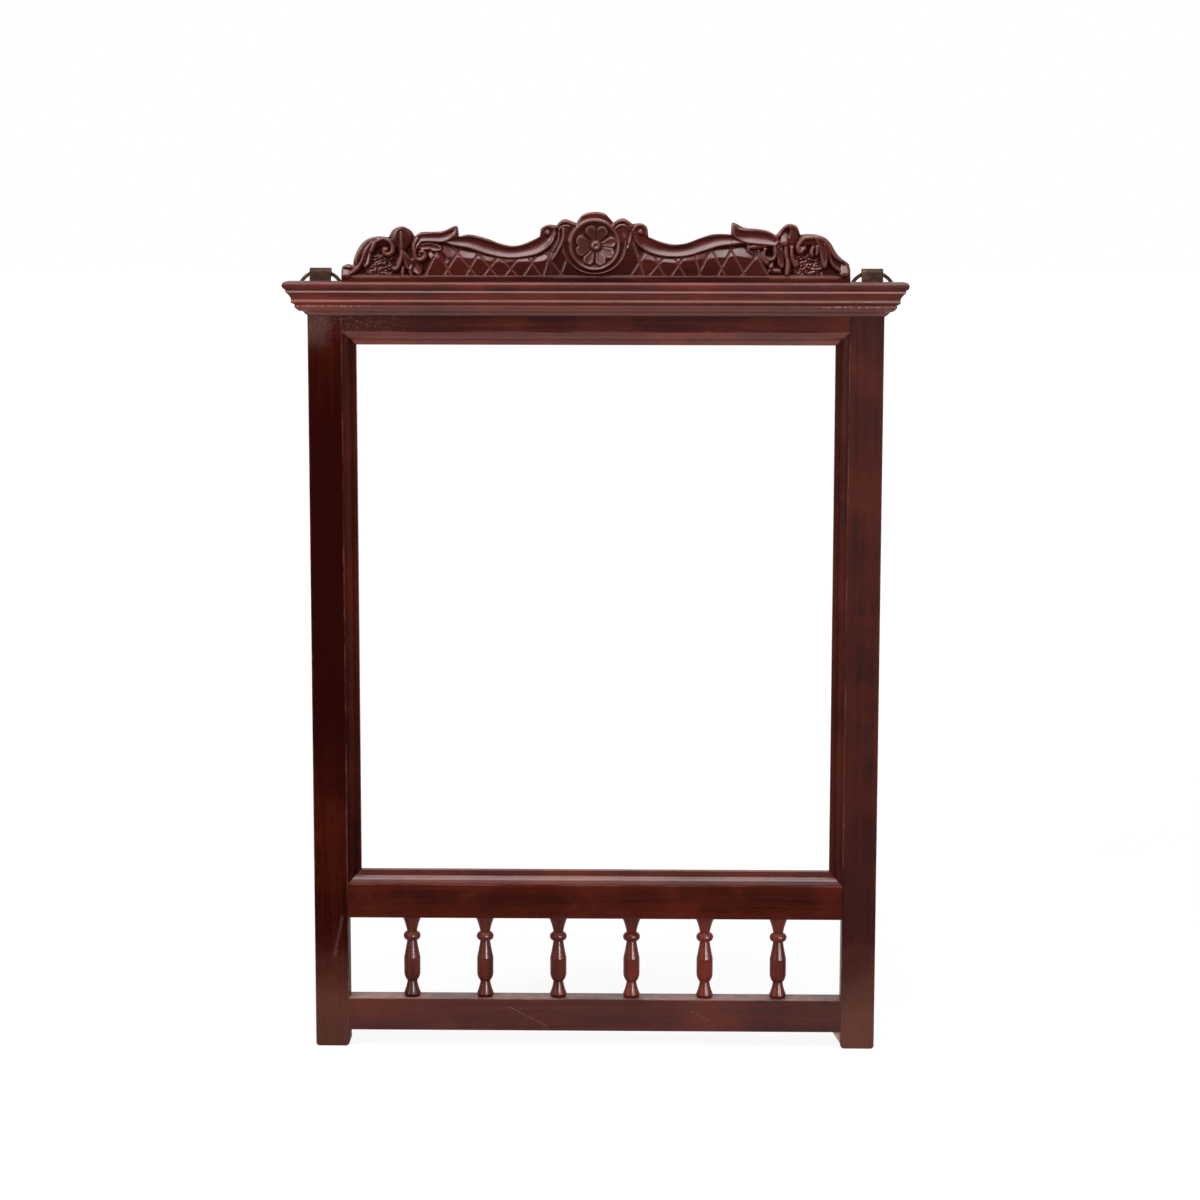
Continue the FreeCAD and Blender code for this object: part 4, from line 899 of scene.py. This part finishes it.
def cornice_marks(colours):
    """Rubbed arrises with painted highlight lines, painted shade on the nose, and painted light on the pale
    lower members of the cornice.
    """
    def marks(sheet, place, colour, roughness):
        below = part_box("cornice_front")[1].z - sheet.part(place, 2)
        patchy = sheet.noise(sheet.stretch(place, (60.0, 60.0, 60.0)), 1.0, 3.0, 0.6)
        grains = sheet.noise(sheet.stretch(place, (420.0, 420.0, 60.0)), 1.0, 2.0, 0.6)
        beads = sheet.step(grains, 0.46, 0.60)

        # Three rubbed arrises at their distances below the top, the lowest beaded near the ends; their
        # light colour is partly wear and partly a painted highlight
        first = sheet.step(below, 0.0088, 0.0096) * sheet.step(below, 0.0114, 0.0106)
        second = sheet.step(below, 0.0184, 0.0192) * sheet.step(below, 0.0212, 0.0204)
        dotted = 0.30 + 0.80 * beads * sheet.step(abs(sheet.part(place, 0)), 0.225, 0.250)
        third = sheet.step(below, 0.0244, 0.0250) * sheet.step(below, 0.0272, 0.0264) * dotted
        rubbed = sheet.greater(first * 1.2, sheet.greater(second * 0.85, third)) * (0.55 + patchy * 0.6)
        # Painted shade on the top-lit nose
        nose_shade = sheet.step(below, 0.0090, 0.0080) * 0.16
        colour = sheet.mix(nose_shade, colour, opaque(colours.heart_and_shade))
        # Painted light on the lower members, which are made paler
        low = sheet.step(below, 0.026, 0.030) * 0.26
        colour = sheet.mix(low, colour, opaque(colours.dust_and_sheen))
        colour = sheet.mix(rubbed * 0.95, colour, opaque(colours.rubbed_arris_and_highlight))
        return colour, roughness + rubbed * 0.05
    return marks


class MIRROR_OT_carve_crest(bpy.types.Operator):
    """Carves the crest in the place of its board"""

    bl_idname = "mirror.carve_crest"
    bl_label = "Carve crest"

    def execute(self, context):
        crest = bpy.data.objects.new("carved_crest", crest_mesh(context.scene.crest_carving))
        context.scene.collection.objects.link(crest)
        dress(crest, carved_mahogany("carved_mahogany", context.scene.wood_finish))
        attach(crest, "frame")
        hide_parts("crest_board")
        return {"FINISHED"}


class MIRROR_OT_polish_frame(bpy.types.Operator):
    """Polishes the stiles and rails"""

    bl_idname = "mirror.polish_frame"
    bl_label = "Polish frame"

    def execute(self, context):
        colours = context.scene.wood_finish
        # Node, axis of the grain, seed, tone (differing by member, partly as painted light and shade),
        # specular, dust with painted sheen on faces turned up, and marks
        members = (("left_stile", 2, 1, 0.66, 0.010, 0.30, stile_marks(colours, 1.0, (0.30, 0.74), 0.28)),
                   ("right_stile", 2, 2, 0.72, 0.098, 0.30, stile_marks(colours, 0.45, (0.10, 0.27), 0.32)),
                   ("top_rail", 0, 4, 1.02, 0.098, 0.30, top_rail_marks(colours)),
                   ("middle_rail", 0, 5, 1.02, 0.042, 0.30, None),
                   ("bottom_rail", 0, 6, 1.12, 0.22, 0.95, bottom_rail_marks(colours)),
                   ("right_foot_block", 1, 22, 1.4, 0.20, 0.30, block_marks(colours)))
        for node, grain, seed, tone, specular, dust_and_sheen, marks in members:
            axes = [axis for axis in range(3) if axis != grain]

            def worn(sheet, place, node=node, axes=axes):
                return arris_distance(sheet, place, node, axes)

            finish = mahogany("polish_" + node, colours, grain, seed, tone=tone, specular=specular,
                              rounding=0.0011, worn=worn, extra=marks, dust_and_sheen=dust_and_sheen)
            dress(NODES[node], finish)
        return {"FINISHED"}


class MIRROR_OT_polish_spindles(bpy.types.Operator):
    """Polishes the turned spindles"""

    bl_idname = "mirror.polish_spindles"
    bl_label = "Polish spindles"

    def execute(self, context):
        colours = context.scene.wood_finish
        for number in range(1, 7):
            # Faces turned to the front lamp get a narrow pink painted highlight
            finish = mahogany(f"polish_spindle_{number}", colours, 2, 7 + number, tone=1.75, specular=0.14,
                              rounding=0.0006, polish=1.0, lit=(0.20, -0.94, 0.27), catch=(0.966, 0.990),
                              haze=0.10, shine=1.8, depth=0.00002, painted_highlight=0.05)
            dress(NODES[f"spindle_{number}"], finish)
        return {"FINISHED"}


class MIRROR_OT_polish_cornice(bpy.types.Operator):
    """Polishes the cornice and its returns"""

    bl_idname = "mirror.polish_cornice"
    bl_label = "Polish cornice"

    def execute(self, context):
        colours = context.scene.wood_finish
        for node, grain, seed in (("cornice_front", 0, 15), ("cornice_left_return", 1, 16),
                                  ("cornice_right_return", 1, 17)):
            # The high tone lightens the cornice as painted light on its shaded lower faces
            finish = mahogany("polish_" + node, colours, grain, seed, tone=1.80, specular=0.17,
                              rounding=0.0010, extra=cornice_marks(colours), polish=0.3, dust_and_sheen=0.12)
            dress(NODES[node], finish)
        return {"FINISHED"}


class MIRROR_OT_polish_sight_moulding(bpy.types.Operator):
    """Polishes the four strips of the sight moulding"""

    bl_idname = "mirror.polish_sight_moulding"
    bl_label = "Polish sight moulding"

    def execute(self, context):
        colours = context.scene.wood_finish
        # Tones differ by strip as painted light and shade: the top and bottom strips lighter, the sides
        # darker
        for node, grain, seed, tone, specular in (
                ("sight_moulding_top", 0, 18, 2.0, 0.40), ("sight_moulding_bottom", 0, 19, 1.4, 0.20),
                ("sight_moulding_left", 2, 20, 0.66, 0.03), ("sight_moulding_right", 2, 21, 0.72, 0.065)):
            finish = mahogany("polish_" + node, colours, grain, seed, tone=tone, specular=specular,
                              rounding=0.0007, polish=0.5)
            dress(NODES[node], finish)
        return {"FINISHED"}


class MIRROR_OT_silver_glass(bpy.types.Operator):
    """Silvers the mirror glass"""

    bl_idname = "mirror.silver_glass"
    bl_label = "Silver glass"

    def execute(self, context):
        colours = context.scene.wood_finish
        material, sheet = new_finish("silvered_glass")
        place = sheet.object_place()
        haze = sheet.noise(place, 6.0, 4.0, 0.6)
        specks = sheet.step(sheet.noise(place, 520.0, 2.0, 0.5), 0.74, 0.80)
        edge = sheet.step(arris_distance(sheet, place, "mirror_glass", (0, 2)), 0.030, 0.016)
        aged = specks * edge * 0.5
        colour = sheet.mix(aged, opaque(colours.silver), opaque(colours.spots))
        sheet.surface({"Base Color": colour, "Metallic": 1.0 - aged * 0.5,
                       "Roughness": 0.015 + haze * 0.02 + aged * 0.3,
                       "Normal": sheet.dents(haze, 0.00004)})
        dress(NODES["mirror_glass"], material)
        return {"FINISHED"}


class MIRROR_OT_finish_back(bpy.types.Operator):
    """Finishes the back board, its pins and the crest's dowels"""

    bl_idname = "mirror.finish_back"
    bl_label = "Finish back"

    def execute(self, context):
        colours = context.scene.wood_finish
        for name, node, base, depth in (("plywood", "back_board", colours.plywood, 0.00025),
                                        ("dowel_wood", "crest_dowels", colours.peg, 0.00015)):
            material, sheet = new_finish(name)
            place = sheet.object_place()
            rings = sheet.noise(sheet.stretch(place, (38.0, 38.0, 2.2)), 1.0, 5.0, 0.6, 1.2)
            fibre = sheet.noise(sheet.stretch(place, (700.0, 700.0, 14.0)), 1.0, 3.0, 0.6)
            stain = sheet.step(sheet.noise(place, 5.0, 5.0, 0.65), 0.50, 0.74)
            dark = tuple(0.42 * c for c in base)
            pale = tuple(min(1.0, 1.35 * c) for c in base)
            colour = sheet.mix(sheet.step(rings, 0.35, 0.65), opaque(dark), opaque(base))
            colour = sheet.mix(sheet.step(fibre, 0.5, 0.75) * 0.4, colour, opaque(pale))
            colour = sheet.mix(stain * 0.55, colour, opaque(dark))
            sheet.surface({"Base Color": colour, "Roughness": 0.62 + fibre * 0.2,
                           "Specular IOR Level": 0.25, "Normal": sheet.dents(fibre + rings, depth)})
            dress(NODES[node], material)
        material, sheet = new_finish("steel_pins")
        place = sheet.object_place()
        rust = sheet.step(sheet.noise(place, 900.0, 4.0, 0.6), 0.46, 0.62)
        colour = sheet.mix(rust, opaque(colours.steel), opaque(colours.rust))
        sheet.surface({"Base Color": colour, "Metallic": 1.0 - rust * 0.8, "Roughness": 0.35 + rust * 0.4,
                       "Normal": sheet.dents(rust, 0.00008)})
        dress(NODES["back_board_pins"], material)
        return {"FINISHED"}


class MIRROR_OT_age_hangers(bpy.types.Operator):
    """Ages the brass straps, rings and screws"""

    bl_idname = "mirror.age_hangers"
    bl_label = "Age hangers"

    def execute(self, context):
        colours = context.scene.wood_finish
        for kind, rubbing in (("hanger_strap", 0.25), ("hanger_ring", 0.40), ("hanger_screws", 0.30)):
            material, sheet = new_finish("aged_" + kind)
            place = sheet.object_place()
            cloud = sheet.noise(place, 85.0, 5.0, 0.65)
            grit = sheet.noise(place, 900.0, 3.0, 0.6)
            tarnish = sheet.step(cloud, 0.36, 0.66)
            dark = tuple(0.35 * share for share in colours.brass)
            colour = sheet.mix(tarnish, opaque(dark), opaque(colours.brass))
            rubbed = sheet.step(cloud, 0.55, 0.72) * rubbing
            colour = sheet.mix(rubbed, colour, opaque(colours.bright_brass))
            sheet.surface({"Base Color": colour, "Metallic": 0.25 + tarnish * 0.25,
                           "Roughness": 0.36 + grit * 0.30, "Specular IOR Level": 0.15,
                           "Normal": sheet.dents(grit + cloud, 0.00012, 0.0004)})
            for side in ("left_", "right_"):
                dress(NODES[side + kind], material)
        return {"FINISHED"}


def seen_directly(sheet):
    """1 for what the camera, a reflection or a glass sees of the surroundings, and 0 for their light."""
    camera = sheet.add("ShaderNodeLightPath", {}, {}, "Is Camera Ray")
    glossy = sheet.add("ShaderNodeLightPath", {}, {}, "Is Glossy Ray")
    clear = sheet.add("ShaderNodeLightPath", {}, {}, "Is Transmission Ray")
    return sheet.greater(camera, sheet.greater(glossy, clear))


def lay_floor(scene, stage):
    """A pale floor that takes a soft shadow and looks white far off."""
    half = stage.floor_size / 2
    level = SOLID_BOX[0].z - FLOOR_GAP
    mesh = bpy.data.meshes.new("floor")
    corners = [(-half, -half, level), (half, -half, level), (half, half, level), (-half, half, level)]
    mesh.from_pydata(corners, [], [(0, 1, 2, 3)])
    floor = bpy.data.objects.new("floor", mesh)
    scene.collection.objects.link(floor)
    material, sheet = new_finish("pale_floor")
    cast = sheet.add("ShaderNodeBsdfDiffuse", {}, {"Color": FLOOR_COLOUR})
    place = sheet.object_place()
    away = sheet.add("ShaderNodeVectorMath", {"operation": "LENGTH"}, {0: place}, "Value")
    white = 0.90 + 0.10 * sheet.step(away, 1.0, 3.5)
    strength = stage.floor_light + seen_directly(sheet) * (white - stage.floor_light)
    glow = sheet.add("ShaderNodeEmission", {}, {"Strength": strength})
    both = sheet.add("ShaderNodeAddShader", {}, {0: cast, 1: glow})
    sheet.add("ShaderNodeOutputMaterial", {}, {"Surface": both})
    dress(floor, material)


def light_room(scene, stage):
    """A white room that gives a weak light from all round."""
    world = bpy.data.worlds.new("studio")
    world.use_nodes = True
    sheet = Sheet(world.node_tree)
    strength = stage.room_light + seen_directly(sheet) * (1.0 - stage.room_light)
    room = sheet.add("ShaderNodeBackground", {}, {"Color": (1.0, 1.0, 1.0, 1.0), "Strength": strength})
    sheet.add("ShaderNodeOutputWorld", {}, {"Surface": room})
    scene.world = world


def add_lamp(scene, name, place, target, size, power):
    """A rectangular lamp that is aimed at a point."""
    data = bpy.data.lights.new(name, "AREA")
    data.shape = "RECTANGLE"
    data.size, data.size_y = size
    data.energy = power
    lamp = bpy.data.objects.new(name, data)
    lamp.location = place
    lamp.rotation_euler = (Vector(target) - Vector(place)).to_track_quat("-Z", "Y").to_euler()
    scene.collection.objects.link(lamp)


def set_camera(scene, stage):
    """The camera at its place, turned, tilted and rolled."""
    right = Vector((math.cos(stage.yaw), -math.sin(stage.yaw), 0.0))
    flat = math.cos(stage.tilt)
    ahead = Vector((math.sin(stage.yaw) * flat, math.cos(stage.yaw) * flat, -math.sin(stage.tilt)))
    upward = right.cross(ahead)
    turned = math.cos(stage.roll) * right + math.sin(stage.roll) * upward
    raised = math.cos(stage.roll) * upward - math.sin(stage.roll) * right
    data = bpy.data.cameras.new("camera")
    data.lens = stage.lens
    data.sensor_width = SENSOR_WIDTH
    camera = bpy.data.objects.new("camera", data)
    pose = Matrix((turned, raised, -ahead)).transposed().to_4x4()
    camera.matrix_world = Matrix.Translation(Vector(stage.eye)) @ pose
    scene.collection.objects.link(camera)
    scene.camera = camera


class MIRROR_OT_set_stage(bpy.types.Operator):
    """Sets the floor, the lamps and the camera"""

    bl_idname = "mirror.set_stage"
    bl_label = "Set stage"

    def execute(self, context):
        scene = context.scene
        stage = scene.mirror_stage
        scene.view_settings.view_transform = "Standard"
        lay_floor(scene, stage)
        light_room(scene, stage)
        for name, setting, target, size in LAMPS:
            place = getattr(stage, setting + "_place")
            add_lamp(scene, name, place, target, size, getattr(stage, setting + "_power"))
        set_camera(scene, stage)
        return {"FINISHED"}


OPERATORS = (MIRROR_OT_carve_crest, MIRROR_OT_polish_frame, MIRROR_OT_polish_spindles,
             MIRROR_OT_polish_cornice, MIRROR_OT_polish_sight_moulding, MIRROR_OT_silver_glass,
             MIRROR_OT_finish_back, MIRROR_OT_age_hangers, MIRROR_OT_set_stage)


class MIRROR_PT_pieces(bpy.types.Panel):
    """Lists the steps that finish the mirror"""

    bl_label = "Carved wall mirror"
    bl_idname = "MIRROR_PT_pieces"
    bl_space_type = "VIEW_3D"
    bl_region_type = "UI"
    bl_category = "Mirror"

    def draw(self, context):
        for operator in OPERATORS:
            self.layout.operator(operator.bl_idname)


GROUPS = {"crest_carving": CrestCarving, "wood_finish": WoodFinish, "mirror_stage": MirrorStage}
CLASSES = tuple(GROUPS.values()) + OPERATORS + (MIRROR_PT_pieces,)


def register():
    for item in CLASSES:
        bpy.utils.register_class(item)
    for name, group in GROUPS.items():
        setattr(bpy.types.Scene, name, PointerProperty(type=group))


def unregister():
    for name in GROUPS:
        delattr(bpy.types.Scene, name)
    for item in reversed(CLASSES):
        bpy.utils.unregister_class(item)


def main():
    register()
    for operator in OPERATORS:
        area, step = operator.bl_idname.split(".")
        getattr(getattr(bpy.ops, area), step)()


if __name__ == "__main__":
    main()
